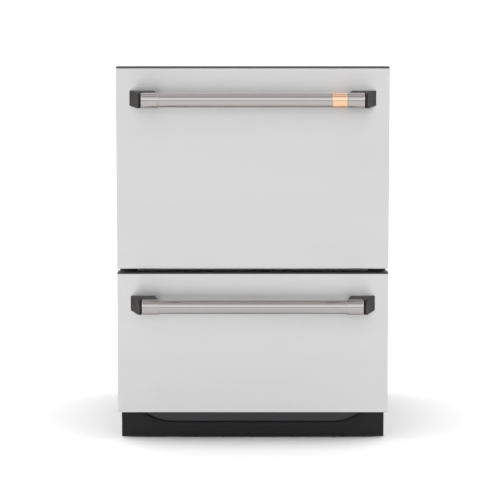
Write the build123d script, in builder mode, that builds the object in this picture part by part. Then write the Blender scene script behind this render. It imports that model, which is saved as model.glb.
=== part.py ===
"""Two-drawer under-counter refrigerator, modelled as it comes apart on a bench.

Frame: +Z up, the drawers open towards -Y, X runs across. The origin is on the floor,
in the middle of the overall width and depth. All sizes are in millimetres.
"""

import os

from build123d import *

# ---------------------------------------------------------------- driving dimensions
# Drawer fronts, from the floor up
FRONT_WIDTH = 603.0
TOE_HEIGHT = 76.0  # floor to the lower edge of the lower front
LOWER_FRONT_HEIGHT = 314.0
UPPER_FRONT_HEIGHT = 446.0
TRIM_HEIGHT = 2.5  # dark cap that closes the top edge of each front
FRONT_GAP = 8.5  # air gap between the lower front's cap and the upper front
FRONT_THICKNESS = 40.0
SKIN = 1.0  # stainless skin of the fronts
SKIN_RETURN = 20.0  # how far the skin folds back round the edge
SKIN_EDGE_RADIUS = 2.0
FRONT_LINER_WALL = 2.0
TRIM_SETBACK = 2.0
TRIM_CHAMFER = 1.8
SKIN_FACE_ROUNDING = 1.6

# Cabinet
CASE_OVERHANG = 4.5  # fronts beyond the case on each side
CASE_DEPTH = 560.0
CASE_DROP = 50.0  # cabinet top below the top of the upper front, room for the brackets
SHEET = 1.0
RIB_PITCH = 110.0
RIB_WIDTH = 16.0
RIB_DEPTH = 0.5
RIB_MARGIN = 48.0
FOAM_WALL = 38.0
LINER_WALL = 2.0
GASKET_DEPTH = 10.0
GASKET_WIDTH = 16.0
GASKET_STRIP = 3.0
GASKET_WAIST = 3.5
GASKET_EDGE = 1.5  # seal's outer edge from the edge of the front, beside the mullion
MULLION_MARGIN = 1.0  # mullion beyond the seals on both sides
MULLION_DEPTH = 40.0

# Base and machine compartment
KICK_RECESS = 84.0  # toe plate behind the face of the drawer fronts
KICK_INSET = 4.5  # plate's ends inside the sides of the fronts
KICK_FLOOR_GAP = 3.0
KICK_WALL = 2.0
KICK_POCKET_DEPTH = 5.0
KICK_POCKET_CURL = 85.0  # length over which the pocket's lower edge curls up
KICK_POCKET_INSET = 34.0  # pocket's end at the top edge, inside the plate's end
KICK_POCKET_RISE = 34.0  # pocket's lower edge above the toe plate's lower edge
BASE_PAN_HEIGHT = 20.0  # floor to the underside of the base pan
PAN_SHEET = 1.5
PAN_LIP = 14.0
MACHINE_DEPTH = 200.0
MACHINE_TOP = 228.0
COVER_FLANGE = 26.0
COVER_INSET = 3.0  # rear cover's inner face, in from the back
COVER_CLEARANCE = 0.5
COVER_SCREW_INSET = 14.0
COVER_SCREW_LIFT = 30.0  # lower screws above the base pan
COVER_SCREW_DROP = 20.0  # upper screws below the roof
LOUVRE_X = -60.0  # middle of the louvre field
LOUVRE_PITCH_X = 52.0
LOUVRE_PITCH_Z = 15.0
LOUVRE_COLUMNS = 7
LOUVRE_ROWS = 9
LOUVRE_LENGTH = 44.0
LOUVRE_HEIGHT = 6.0
INLET_WIDTH = 28.0
INLET_HEIGHT = 20.0
INLET_DEPTH = 22.0
INLET_FIT = 0.3
INLET_FLANGE = (20.0, 13.0)  # half-width and half-height
INLET_CORNER = 4.0
INLET_WALL = 2.0
INLET_FLOOR = 3.0
PIN_PITCH = 7.0
PIN_DROP = 2.0  # outer pins below the middle of the inlet, earth pin as far above it
PIN_WIDTH = 2.0
PIN_HEIGHT = 5.0
INLET_INSET = 55.0
INLET_DROP = 38.0  # below the roof of the machine compartment

# Levelling legs
LEG_STUD_RADIUS = 5.0
LEG_CLEARANCE = 0.1
LEG_FOOT_RADIUS = 19.0
LEG_FOOT_HEIGHT = 9.0
LEG_HEX_SIZE = 11.0
LEG_STUD_GAP = 6.0  # stud's top below the lower edge of the fronts
LEG_BOSS_RADIUS = 9.0
LEG_BOSS_TOP = 50.0
LEG_INSET_X = 32.0
LEG_FRONT_INSET = 34.0
LEG_REAR_INSET = 30.0

# Handles
HANDLE_DROP = 66.0  # bar axis below the top of the skin
HANDLE_STANDOFF = 54.0  # bar axis in front of the skin
BAR_RADIUS = 15.4
BAR_WALL = 2.0
SLEEVE_FIT = 0.1
SLEEVE_WALL = 1.5
SLEEVE_SHOW = 2.0  # sleeve beyond the arm, towards the middle
ARM_STOP = 10.0  # the arms' blocks stop this far behind the bar axis
ARM_INSET = 30.0  # outer face of the arm at the skin, inside the front's side
ARM_TAPER = 17.0  # and as much further in level with the bar axis
ARM_LENGTH_BASE = 54.5
ARM_LENGTH_AXIS = 45.5
ARM_CHEEK = 3.5
BAND_LENGTH = 32.0  # copper band on the upper bar
BAND_GAP = 1.0
STUD_RADIUS = 3.0  # studs of the arms, through the skin
STUD_CLEARANCE = 0.2
STUD_LENGTH = 14.0
STUD_END_GAP = 1.0

# Slides
SLIDE_HEIGHT = 45.0
SLIDE_SHEET = 1.4
SLIDE_DEPTH = 12.0
SLIDE_PLAY = 0.5
SLIDE_STEP = 5.6  # each member's web sits this far inside the one before
SLIDE_FRONT = 8.0  # slide's front end behind the cabinet face
UPPER_SLIDE_GAP = 15.0  # slides' rear ends in front of what is behind them
LOWER_SLIDE_GAP = 12.0

# Drawers
FRAME_SHEET = 1.8
FRAME_HEIGHT = 62.0
BIN_WALL = 3.0
BIN_CORNER = 18.0
BIN_FRONT_GAP = 4.0
BIN_RIM = 8.0
BIN_SIDE_GAP = 1.0
UPPER_BIN_HEADROOM = 67.2  # under the liner's roof, for the controls and lights
LOWER_BIN_HEADROOM = 24.7  # under the mullion
FRAME_FLOOR_GAP = 8.0  # drawer frame above the compartment floor or mullion
FRAME_CROSS_BAR = 30.0
DIVIDER_THICKNESS = 4.0
DIVIDER_CLEARANCE = 1.0
DIVIDER_HEIGHT = 150.0
DIVIDER_LIFT = 0.3  # hooks above the bin's rim
DIVIDER_CORNER = 12.0

# Controls and lights
PANEL_WIDTH = 240.0
PANEL_HEIGHT = 28.0
PANEL_DEPTH = 44.0
PANEL_WALL = 2.0
PANEL_SETBACK = 6.0
BUTTON_WIDTH = 18.0
BUTTON_HEIGHT = 10.0
BUTTON_LENGTH = 10.0
BUTTON_PROUD = 2.0
BUTTON_CLEARANCE = 0.4
BUTTON_PITCH = 28.0
BUTTON_FIRST = 36.0
DISPLAY_X = -40.0
DISPLAY_WIDTH = 52.0
DISPLAY_HEIGHT = 12.0
LIGHT_LENGTH = 360.0
LIGHT_WIDTH = 16.0
LIGHT_HEIGHT = 7.0
LIGHT_EDGE = 2.5
LIGHT_GAP = 6.0  # behind the control housing
PANEL_EDGE = 4.0
BUTTON_CORNER = 2.0
BUTTON_EDGE = 0.8

# Evaporator and its fan
DUCT_DEPTH = 46.0
DUCT_SIDE_GAP = 36.0
DUCT_WALL = 2.5
DUCT_TOP_GAP = 20.0
DUCT_FLOOR_GAP = 12.0
EVAP_SIDE_GAP = 30.0
EVAP_HEIGHT = 190.0
EVAP_DEPTH = 30.0
EVAP_FIN_PITCH = 10.0
EVAP_LIFT = 70.0  # above the bottom of the duct cover
EVAP_ROWS = 5
EVAP_ROW_PITCH = 38.0
EVAP_FIRST_ROW = 19.0
EVAP_TUBE_DEPTHS = (0.28, 0.72)  # tubes across the fins, as shares of their depth
EVAP_TUBE_OVERHANG = 8.0
EVAP_BEND_WIDTH = 5.0
EVAP_FAN_GAP = 5.0  # rotor behind the duct cover
EVAP_HUB_RADIUS = 14.0
EVAP_BLADE_DEPTH = 12.8
EVAP_MOTOR_EDGE = 3.0
EVAP_SHAFT_GAP = 12.0
EVAP_FAN_RADIUS = 48.0
EVAP_FAN_DEPTH = 16.0
EVAP_FAN_DROP = 110.0  # fan axis below the top of the duct
EVAP_MOTOR_RADIUS = 22.0
EVAP_MOTOR_LENGTH = 14.0
EVAP_SHAFT_RADIUS = 2.5
GRILLE_RADII = (42.0, 30.0, 18.0)
GRILLE_SLOT = 7.0
GRILLE_SPOKE = 6.0
GRILLE_SPOKES = 3
DUCT_EDGE = 8.0
RETURN_LIFT = 40.0  # return slots above the bottom of the duct cover
RETURN_PITCH_X = 54.0
RETURN_PITCH_Z = 16.0
RETURN_COLUMNS = 7
RETURN_ROWS = 2
RETURN_LENGTH = 44.0
RETURN_HEIGHT = 7.0

# Machine compartment contents
COMPRESSOR_RADIUS = 62.0
COMPRESSOR_HEIGHT = 150.0
COMPRESSOR_LIFT = 14.0  # shell above the base pan, on its rubber mounts
WELD_FLANGE = 3.0
FOOT_HALF = (78.0, 55.0)  # compressor's foot plate, along X and Y
FOOT_HOLES = (66.0, 44.0)
FOOT_BELOW = 3.0
FOOT_ABOVE = 2.0
FOOT_HOLE_RADIUS = 7.0
TERMINAL_HALF = 22.0
TERMINAL_DEPTH = (-12.0, 14.0)  # terminal box, from the front of the shell
TERMINAL_RISE = (40.0, 84.0)
STUB_SPREAD = 20.0  # pipe stubs on both sides of the shell's middle
STUB_START = 6.0
STUB_LENGTH = 14.0
DISCHARGE_RISE = 95.0
DISCHARGE_RADIUS = 5.0
SUCTION_RISE = 60.0
SUCTION_RADIUS = 4.5
GROMMET_RADIUS = 11.0
GROMMET_NECK_RADIUS = 6.5
GROMMET_HEIGHT = 19.0
COMPRESSOR_INSET = 132.0  # its axis from the side of the case
CONDENSER_WIDTH = 56.0
CONDENSER_HEIGHT = 160.0
CONDENSER_LENGTH = 120.0
CONDENSER_FIN_PITCH = 7.5
CONDENSER_LIFT = 8.0
CONDENSER_ROWS = 6
CONDENSER_ROW_PITCH = 26.0
CONDENSER_FIRST_ROW = 15.0
CONDENSER_TUBE_SPREAD = 14.0
CONDENSER_TUBE_OVERHANG = 8.0
END_PLATE = 2.0
END_PLATE_GAP = 3.0
BEND_DEPTH = 6.0
BEND_HEIGHT = 6.0
CONDENSER_INSET = 45.0
FIN = 0.8
TUBE_RADIUS = 4.0
MACHINE_FAN_RADIUS = 66.0
MACHINE_FAN_DEPTH = 24.0
MACHINE_MOTOR_RADIUS = 16.5
MACHINE_MOTOR_LENGTH = 30.0
MACHINE_SHAFT_RADIUS = 3.0
BLADE_PITCH = 32.0
BLADE_THICKNESS = 1.6
SHROUD_PITCH = 56.0  # fan plate from the middle of the condenser
SHROUD_WALL = 2.0
SHROUD_HALF = 80.0
SHROUD_GAP = 2.0  # shroud behind the front wall of the compartment
SHROUD_HOLE_GAP = 4.0  # round the blades
SHROUD_RIM = 6.0
STRUT_HALF = 6.0  # motor bridge and its struts
STRUT_INNER = 2.0
STRUT_OUTER = 4.0
MACHINE_MOTOR_GAP = 10.0  # motor behind the blades
MACHINE_HUB_RADIUS = 18.0
MACHINE_BLADE_DEPTH = 16.8
MACHINE_ROTOR_SHIFT = 1.0
BLADE_COUNT = 5
BLADE_ROOT = 6.0  # blade into the hub
BLADE_CHORD = 1.9  # blade box, in depths of the rotor
RUNNING_FIT = 0.05
LINE_RADIUS = 3.2
LINE_BEND = 10.0
LINE_ROOF_GAP = 14.0
LINE_RUN = 24.0
LINE_STEP = 16.0  # suction line below the discharge line
DISCHARGE_FRONT = 66.0
SUCTION_REAR = 60.0
DRIP_TRAY_X = (-110.0, 70.0)
DRIP_TRAY_Y = (30.0, 150.0)  # from the front wall of the compartment
DRIP_TRAY_HEIGHT = 24.0
DRIP_TRAY_CORNER = 12.0
DRIP_TRAY_WALL = 2.0

# Fasteners and brackets
SCREW_RADIUS = 1.9
SCREW_HOLE_RADIUS = 2.0
SCREW_HEAD_RADIUS = 4.0
SCREW_HEAD_HEIGHT = 2.0
SCREW_LENGTH = 8.0
BRACKET_INSET = 77.0
BRACKET_WIDTH = 34.0
BRACKET_SHEET = 2.0
BRACKET_RISE = 40.0
BRACKET_HOLE_RADIUS = 2.6

# ---------------------------------------------------------------- derived places
SLEEVE_RADIUS = BAR_RADIUS + SLEEVE_FIT + SLEEVE_WALL
HANDLE_REACH = HANDLE_STANDOFF + SLEEVE_RADIUS
OVERALL_DEPTH = HANDLE_REACH + FRONT_THICKNESS + GASKET_DEPTH + CASE_DEPTH
FRONT_Y = HANDLE_REACH - OVERALL_DEPTH / 2  # outer face of the drawer fronts
FRONT_BACK_Y = FRONT_Y + FRONT_THICKNESS
CASE_Y = FRONT_BACK_Y + GASKET_DEPTH  # cabinet face
BACK_Y = CASE_Y + CASE_DEPTH

LOWER_FRONT_TOP = TOE_HEIGHT + LOWER_FRONT_HEIGHT
UPPER_FRONT_BOTTOM = LOWER_FRONT_TOP + TRIM_HEIGHT + FRONT_GAP
UPPER_FRONT_TOP = UPPER_FRONT_BOTTOM + UPPER_FRONT_HEIGHT
OVERALL_HEIGHT = UPPER_FRONT_TOP + TRIM_HEIGHT
CASE_TOP = OVERALL_HEIGHT - CASE_DROP
DECK_Z = TOE_HEIGHT - 2 * SHEET  # underside of the insulated box at the front
CASE_WIDTH = FRONT_WIDTH - 2 * CASE_OVERHANG
HALF_CASE = CASE_WIDTH / 2
LEG_STUD_TOP = TOE_HEIGHT - LEG_STUD_GAP
SEAL_REACH = GASKET_EDGE + GASKET_WIDTH + MULLION_MARGIN
MULLION_BOTTOM = LOWER_FRONT_TOP - SEAL_REACH
MULLION_TOP = UPPER_FRONT_BOTTOM + SEAL_REACH

LINER_HALF = HALF_CASE - SHEET - FOAM_WALL - LINER_WALL  # inside of the liner
LINER_TOP = CASE_TOP - SHEET - FOAM_WALL - LINER_WALL
LINER_FLOOR = DECK_Z + SHEET + FOAM_WALL + LINER_WALL
LINER_BACK = BACK_Y - SHEET - FOAM_WALL - LINER_WALL
MACHINE_Y = BACK_Y - MACHINE_DEPTH  # front of the machine compartment
STEP_Y = MACHINE_Y - FOAM_WALL - LINER_WALL
STEP_Z = MACHINE_TOP + SHEET + FOAM_WALL + LINER_WALL

KICK_WIDTH = FRONT_WIDTH - 2 * KICK_INSET
KICK_POCKET_SPAN = KICK_WIDTH / 2 - KICK_POCKET_INSET  # half-length at the top edge
KICK_POCKET_FLAT = KICK_POCKET_SPAN - KICK_POCKET_CURL  # and of the straight lower edge
KICK_Y = FRONT_Y + KICK_RECESS
PAN_FRONT = KICK_Y + KICK_WALL + KICK_POCKET_DEPTH + 1.0
PAN_TOP = BASE_PAN_HEIGHT + PAN_SHEET
COVER_Y = BACK_Y - COVER_INSET

ARM_OUTER_BASE = FRONT_WIDTH / 2 - ARM_INSET
ARM_OUTER_AXIS = ARM_OUTER_BASE - ARM_TAPER
ARM_INNER_BASE = ARM_OUTER_BASE - ARM_LENGTH_BASE
ARM_INNER_AXIS = ARM_OUTER_AXIS - ARM_LENGTH_AXIS
SLEEVE_INNER_END = ARM_INNER_AXIS - SLEEVE_SHOW
BAND_OUTER = SLEEVE_INNER_END - BAND_GAP
BAND_INNER = BAND_OUTER - BAND_LENGTH

SLIDE_Y = CASE_Y + SLIDE_FRONT
FRAME_HALF = LINER_HALF - 2 * SLIDE_STEP - SLIDE_SHEET
BIN_HALF = FRAME_HALF - FRAME_SHEET - BIN_SIDE_GAP

DUCT_WIDTH = 2 * (LINER_HALF - DUCT_SIDE_GAP)
EVAP_WIDTH = DUCT_WIDTH - 2 * EVAP_SIDE_GAP
DUCT_Y = LINER_BACK - DUCT_DEPTH
UPPER_SLIDE_LENGTH = DUCT_Y - SLIDE_Y - UPPER_SLIDE_GAP
LOWER_SLIDE_LENGTH = STEP_Y - SLIDE_Y - LOWER_SLIDE_GAP
DUCT_TOP = LINER_TOP - DUCT_TOP_GAP
DUCT_FLOOR = STEP_Z + DUCT_FLOOR_GAP
EVAP_FAN_Z = DUCT_TOP - EVAP_FAN_DROP
MACHINE_FAN_Z = (PAN_TOP + MACHINE_TOP) / 2
MACHINE_MID_Y = (MACHINE_Y + COVER_Y) / 2
MACHINE_FAN_Y = MACHINE_Y + SHEET + SHROUD_HALF + SHROUD_GAP
CONDENSER_TOP = PAN_TOP + CONDENSER_LIFT + CONDENSER_HEIGHT
COMPRESSOR_BASE = PAN_TOP + COMPRESSOR_LIFT
COMPRESSOR_X = HALF_CASE - COMPRESSOR_INSET
CONDENSER_X = CONDENSER_INSET - HALF_CASE
SHROUD_X = CONDENSER_X + SHROUD_PITCH
INLET_X = HALF_CASE - INLET_INSET
INLET_Z = MACHINE_TOP - INLET_DROP
BRACKET_X = HALF_CASE - BRACKET_INSET


# ---------------------------------------------------------------- helpers
def block(x, y, z, mode=Mode.ADD):
    """A box in the open part, given by its span along each axis."""
    middle = ((x[0] + x[1]) / 2, (y[0] + y[1]) / 2, (z[0] + z[1]) / 2)
    with Locations(middle):
        return Box(x[1] - x[0], y[1] - y[0], z[1] - z[0], mode=mode)


def block_about(x, z, half_x, half_z, y, mode=Mode.ADD):
    """A box in the open part about a middle in X and Z, with its span along Y."""
    return block((x - half_x, x + half_x), y, (z - half_z, z + half_z), mode)


def rod(start, direction, radius, length, mode=Mode.ADD):
    """A round bar in the open part, from a start point along a direction."""
    with Locations(Plane(origin=start, z_dir=direction)):
        align = (Align.CENTER, Align.CENTER, Align.MIN)
        return Cylinder(radius, length, align=align, mode=mode)


def save(piece, name):
    """Labels a finished sub-part and writes it as its own STEP file."""
    piece.label = name
    export_step(piece, f"parts/{name}.step")


# ---------------------------------------------------------------- cabinet
def cover_screws():
    """Places of the screws that hold the rear cover, as (x, z)."""
    x = HALF_CASE - SHEET - COVER_SCREW_INSET
    heights = (PAN_TOP + COVER_SCREW_LIFT, MACHINE_TOP - COVER_SCREW_DROP)
    return [(sx * x, z) for sx in (-1, 1) for z in heights]


def make_case_wrapper():
    """Painted steel sides and top in one folded sheet, with a flange round the face."""
    with BuildPart() as wrapper:
        with BuildSketch(Plane.YZ):
            with BuildLine():
                Polyline(
                    (CASE_Y, DECK_Z),
                    (PAN_FRONT, DECK_Z),
                    (PAN_FRONT, BASE_PAN_HEIGHT),
                    (BACK_Y, BASE_PAN_HEIGHT),
                    (BACK_Y, CASE_TOP),
                    (CASE_Y, CASE_TOP),
                    close=True,
                )
            make_face()
        extrude(amount=HALF_CASE, both=True)
        inside = HALF_CASE - SHEET
        block((-inside, inside), (CASE_Y + SHEET, BACK_Y), (0, CASE_TOP - SHEET), Mode.SUBTRACT)
        opening = LINER_HALF + LINER_WALL
        block(
            (-opening, opening),
            (CASE_Y, CASE_Y + SHEET),
            (0, LINER_TOP + LINER_WALL),
            Mode.SUBTRACT,
        )
        for side in (-1, 1):
            place = (side * BRACKET_X, CASE_Y + BRACKET_WIDTH / 2, CASE_TOP)
            rod(place, (0, 0, -1), SCREW_HOLE_RADIUS, SHEET, Mode.SUBTRACT)
            flange = sorted((side * inside, side * (inside - COVER_FLANGE)))
            block(flange, (COVER_Y - SHEET, COVER_Y), (PAN_TOP + PAN_LIP + 1, MACHINE_TOP))
        for x, z in cover_screws():
            rod((x, COVER_Y, z), (0, -1, 0), SCREW_HOLE_RADIUS, SHEET, Mode.SUBTRACT)
    save(wrapper.part, "case_wrapper")


def make_bottom_deck():
    """Folded steel sheet under the insulation: it steps up over the machine compartment."""
    half = HALF_CASE - SHEET
    with BuildPart() as deck:
        block((-half, half), (CASE_Y + SHEET, MACHINE_Y + SHEET), (DECK_Z, DECK_Z + SHEET))
        block((-half, half), (MACHINE_Y, MACHINE_Y + SHEET), (DECK_Z, MACHINE_TOP + SHEET))
        block((-half, half), (MACHINE_Y, BACK_Y - SHEET), (MACHINE_TOP, MACHINE_TOP + SHEET))
        floor_outside = LINER_FLOOR - LINER_WALL
        lip = LINER_HALF + LINER_WALL
        block((-lip, lip), (CASE_Y, CASE_Y + SHEET), (DECK_Z, floor_outside))
    save(deck.part, "bottom_deck")


def cavity(grow):
    """The storage space as a private solid, grown outwards by a wall."""
    with BuildPart() as space:
        with BuildSketch(Plane.YZ):
            with BuildLine():
                Polyline(
                    (CASE_Y - grow, LINER_FLOOR - grow),
                    (STEP_Y + grow, LINER_FLOOR - grow),
                    (STEP_Y + grow, STEP_Z - grow),
                    (LINER_BACK + grow, STEP_Z - grow),
                    (LINER_BACK + grow, LINER_TOP + grow),
                    (CASE_Y - grow, LINER_TOP + grow),
                    close=True,
                )
            make_face()
        extrude(amount=LINER_HALF + grow, both=True)
    return space.part


def make_inner_liner():
    """Thermoformed plastic liner, open at the face, stepped over the machine compartment."""
    outside, inside = cavity(LINER_WALL), cavity(0)
    with BuildPart() as liner:
        add(outside)
        add(inside, mode=Mode.SUBTRACT)
        front = (CASE_Y - 2 * LINER_WALL, CASE_Y)
        block((-HALF_CASE, HALF_CASE), front, (0, CASE_TOP), Mode.SUBTRACT)
    save(liner.part, "inner_liner")


def make_foam():
    """Foam that fills the walls between the steel case and the liner."""
    half = HALF_CASE - SHEET
    liner_outside = cavity(LINER_WALL)
    with BuildPart() as foam:
        block((-half, half), (CASE_Y + SHEET, BACK_Y - SHEET), (DECK_Z + SHEET, CASE_TOP - SHEET))
        block(
            (-half, half),
            (MACHINE_Y, BACK_Y),
            (0, MACHINE_TOP + SHEET),
            Mode.SUBTRACT,
        )
        add(liner_outside, mode=Mode.SUBTRACT)
        bracket_y = CASE_Y + BRACKET_WIDTH / 2
        for side in (-1, 1):
            start = (side * BRACKET_X, bracket_y, CASE_TOP)
            rod(start, (0, 0, -1), SCREW_HOLE_RADIUS, SCREW_LENGTH + 1, Mode.SUBTRACT)
    save(foam.part, "foam_insulation")


def make_back_panel():
    """Ribbed steel back of the insulated box."""
    half = HALF_CASE - SHEET
    middle_z = (MACHINE_TOP + CASE_TOP) / 2
    rib_length = CASE_TOP - MACHINE_TOP - 2 * RIB_MARGIN
    with BuildPart() as back:
        block((-half, half), (BACK_Y - SHEET, BACK_Y), (MACHINE_TOP, CASE_TOP - SHEET))
        with BuildSketch(Plane.XZ.offset(-BACK_Y)):
            with Locations((0, middle_z)):
                with GridLocations(RIB_PITCH, 0, 4, 1):
                    SlotOverall(rib_length, RIB_WIDTH, rotation=90)
        extrude(amount=RIB_DEPTH, mode=Mode.SUBTRACT)
    save(back.part, "back_panel")


def make_mullion():
    """Cross rail between the two drawers, which both seals land on."""
    with BuildPart() as mullion:
        block(
            (-LINER_HALF, LINER_HALF),
            (CASE_Y, CASE_Y + MULLION_DEPTH),
            (MULLION_BOTTOM, MULLION_TOP),
        )
        rear = mullion.edges().filter_by(Axis.X).group_by(Axis.Y)[-1]
        fillet(rear, 6)
    save(mullion.part, "center_mullion")


# ---------------------------------------------------------------- base
def leg_places():
    """The four levelling legs as name and (x, y)."""
    x = HALF_CASE - LEG_INSET_X
    front, rear = PAN_FRONT + LEG_FRONT_INSET, BACK_Y - LEG_REAR_INSET
    return {
        "leg_front_left": (-x, front),
        "leg_front_right": (x, front),
        "leg_rear_left": (-x, rear),
        "leg_rear_right": (x, rear),
    }


def make_base_pan():
    """Steel pan that joins the sides, carries the compressor and holds the leg bosses."""
    half = HALF_CASE - SHEET
    with BuildPart() as pan:
        block((-half, half), (PAN_FRONT, COVER_Y), (BASE_PAN_HEIGHT, PAN_TOP))
        block((-half, half), (PAN_FRONT, PAN_FRONT + PAN_SHEET), (BASE_PAN_HEIGHT, DECK_Z))
        for side in (-1, 1):
            edge = sorted((side * half, side * (half - PAN_SHEET)))
            block(edge, (PAN_FRONT, COVER_Y), (BASE_PAN_HEIGHT, PAN_TOP + PAN_LIP))
        for x, y in leg_places().values():
            height = LEG_BOSS_TOP - PAN_TOP
            rod((x, y, PAN_TOP), (0, 0, 1), LEG_BOSS_RADIUS, height)
            bore = LEG_STUD_RADIUS + LEG_CLEARANCE
            rod((x, y, 0), (0, 0, 1), bore, LEG_BOSS_TOP + 1, Mode.SUBTRACT)
    save(pan.part, "base_pan")


def make_legs():
    """Threaded levelling legs: rubber-faced foot, hexagon and stud in one piece each."""
    for name, (x, y) in leg_places().items():
        with BuildPart() as leg:
            rod((x, y, 0), (0, 0, 1), LEG_FOOT_RADIUS, LEG_FOOT_HEIGHT)
            foot = leg.edges().group_by(Axis.Z)
            chamfer(foot[-1], 2.5)
            fillet(leg.edges().group_by(Axis.Z)[0], 1.0)
            with BuildSketch(Plane.XY.offset(LEG_FOOT_HEIGHT)):
                with Locations((x, y)):
                    RegularPolygon(LEG_HEX_SIZE, 6)
            extrude(amount=BASE_PAN_HEIGHT - LEG_FOOT_HEIGHT)
            stud = LEG_STUD_TOP - BASE_PAN_HEIGHT
            rod((x, y, BASE_PAN_HEIGHT), (0, 0, 1), LEG_STUD_RADIUS, stud)
            chamfer(leg.edges().group_by(Axis.Z)[-1], 1.0)
        save(leg.part, name)


def pocket(margin, depth):
    """The toe plate's air pocket as a private solid, shrunk by a margin, open at the top."""
    low = KICK_FLOOR_GAP + KICK_POCKET_RISE + margin
    flat, span = KICK_POCKET_FLAT, KICK_POCKET_SPAN - margin
    with BuildPart() as space:
        with BuildSketch(Plane.XZ.offset(-KICK_Y)):
            with BuildLine():
                right = TangentArc((flat, low), (span, DECK_Z), tangent=(1, 0))
                left = TangentArc((-flat, low), (-span, DECK_Z), tangent=(-1, 0))
                Line(left @ 0, right @ 0)
                Line(right @ 1, left @ 1)
            make_face()
        extrude(amount=-depth)
    return space.part


def make_kick_plate():
    """Black toe plate with a shallow pocket along its upper edge that lets air in."""
    half = KICK_WIDTH / 2
    outside = pocket(0, KICK_POCKET_DEPTH + KICK_WALL)
    inside = pocket(KICK_WALL, KICK_POCKET_DEPTH)
    with BuildPart() as kick:
        block((-half, half), (KICK_Y, KICK_Y + KICK_WALL), (KICK_FLOOR_GAP, DECK_Z))
        add(outside)
        add(inside, mode=Mode.SUBTRACT)
        for side in (-1, 1):
            end = sorted((side * half, side * (half - KICK_WALL)))
            block(end, (KICK_Y, PAN_FRONT), (KICK_FLOOR_GAP, DECK_Z))
    save(kick.part, "kick_plate")


# ---------------------------------------------------------------- machine compartment
def make_machine_cover():
    """Louvred steel cover over the machine compartment, with a cut-out for the inlet."""
    half = HALF_CASE - SHEET - COVER_CLEARANCE
    with BuildPart() as cover:
        block((-half, half), (COVER_Y, COVER_Y + SHEET), (BASE_PAN_HEIGHT, MACHINE_TOP - COVER_CLEARANCE))
        with BuildSketch(Plane.XZ.offset(-COVER_Y)):
            with Locations((LOUVRE_X, (PAN_TOP + MACHINE_TOP) / 2)):
                with GridLocations(LOUVRE_PITCH_X, LOUVRE_PITCH_Z, LOUVRE_COLUMNS, LOUVRE_ROWS):
                    SlotOverall(LOUVRE_LENGTH, LOUVRE_HEIGHT)
        extrude(amount=-SHEET, mode=Mode.SUBTRACT)
        opening_y = (COVER_Y, COVER_Y + SHEET)
        half_w, half_h = INLET_WIDTH / 2, INLET_HEIGHT / 2
        block_about(INLET_X, INLET_Z, half_w, half_h, opening_y, Mode.SUBTRACT)
        for x, z in cover_screws():
            rod((x, COVER_Y, z), (0, 1, 0), SCREW_HOLE_RADIUS, SHEET, Mode.SUBTRACT)
    save(cover.part, "machine_cover")


def make_power_inlet():
    """Appliance inlet with three flat pins, its flange on the outside of the cover."""
    front = COVER_Y - INLET_DEPTH
    half_w = INLET_WIDTH / 2 - INLET_FIT
    half_h = INLET_HEIGHT / 2 - INLET_FIT
    flange_w, flange_h = INLET_FLANGE
    well_w, well_h = half_w - INLET_WALL, half_h - INLET_WALL
    pins = [(-PIN_PITCH, -PIN_DROP), (0, PIN_DROP), (PIN_PITCH, -PIN_DROP)]
    pin_y = (front + INLET_FLOOR / 2, COVER_Y - INLET_WALL)
    with BuildPart() as inlet:
        block_about(INLET_X, INLET_Z, half_w, half_h, (front, COVER_Y + SHEET))
        block_about(INLET_X, INLET_Z, flange_w, flange_h, (COVER_Y + SHEET, BACK_Y))
        sides = inlet.edges().filter_by(Axis.Y).group_by(Axis.X)
        fillet(sides[-1] + sides[0], INLET_CORNER)
        well_y = (front + INLET_FLOOR, BACK_Y)
        block_about(INLET_X, INLET_Z, well_w, well_h, well_y, Mode.SUBTRACT)
        for dx, dz in pins:
            block_about(INLET_X + dx, INLET_Z + dz, PIN_WIDTH / 2, PIN_HEIGHT / 2, pin_y)
    save(inlet.part, "power_inlet")


def make_case_screws():
    """Pan-head screws of the rear cover and of the counter brackets."""
    with BuildPart() as screws:
        for x, z in cover_screws():
            rod((x, COVER_Y + SHEET, z), (0, 1, 0), SCREW_HEAD_RADIUS, SCREW_HEAD_HEIGHT)
            rod((x, COVER_Y + SHEET, z), (0, -1, 0), SCREW_RADIUS, SCREW_LENGTH)
        for side in (-1, 1):
            place = (side * BRACKET_X, CASE_Y + BRACKET_WIDTH / 2, CASE_TOP + BRACKET_SHEET)
            rod(place, (0, 0, 1), SCREW_HEAD_RADIUS, SCREW_HEAD_HEIGHT)
            rod(place, (0, 0, -1), SCREW_RADIUS, SCREW_LENGTH)
    save(screws.part, "case_screws")


def foot_places(z):
    """Middles of the four holes in the compressor's foot plate, at a height."""
    dx, dy = FOOT_HOLES
    corners = [(sx * dx, sy * dy) for sx in (-1, 1) for sy in (-1, 1)]
    return [(COMPRESSOR_X + x, MACHINE_MID_Y + y, z) for x, y in corners]


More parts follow.
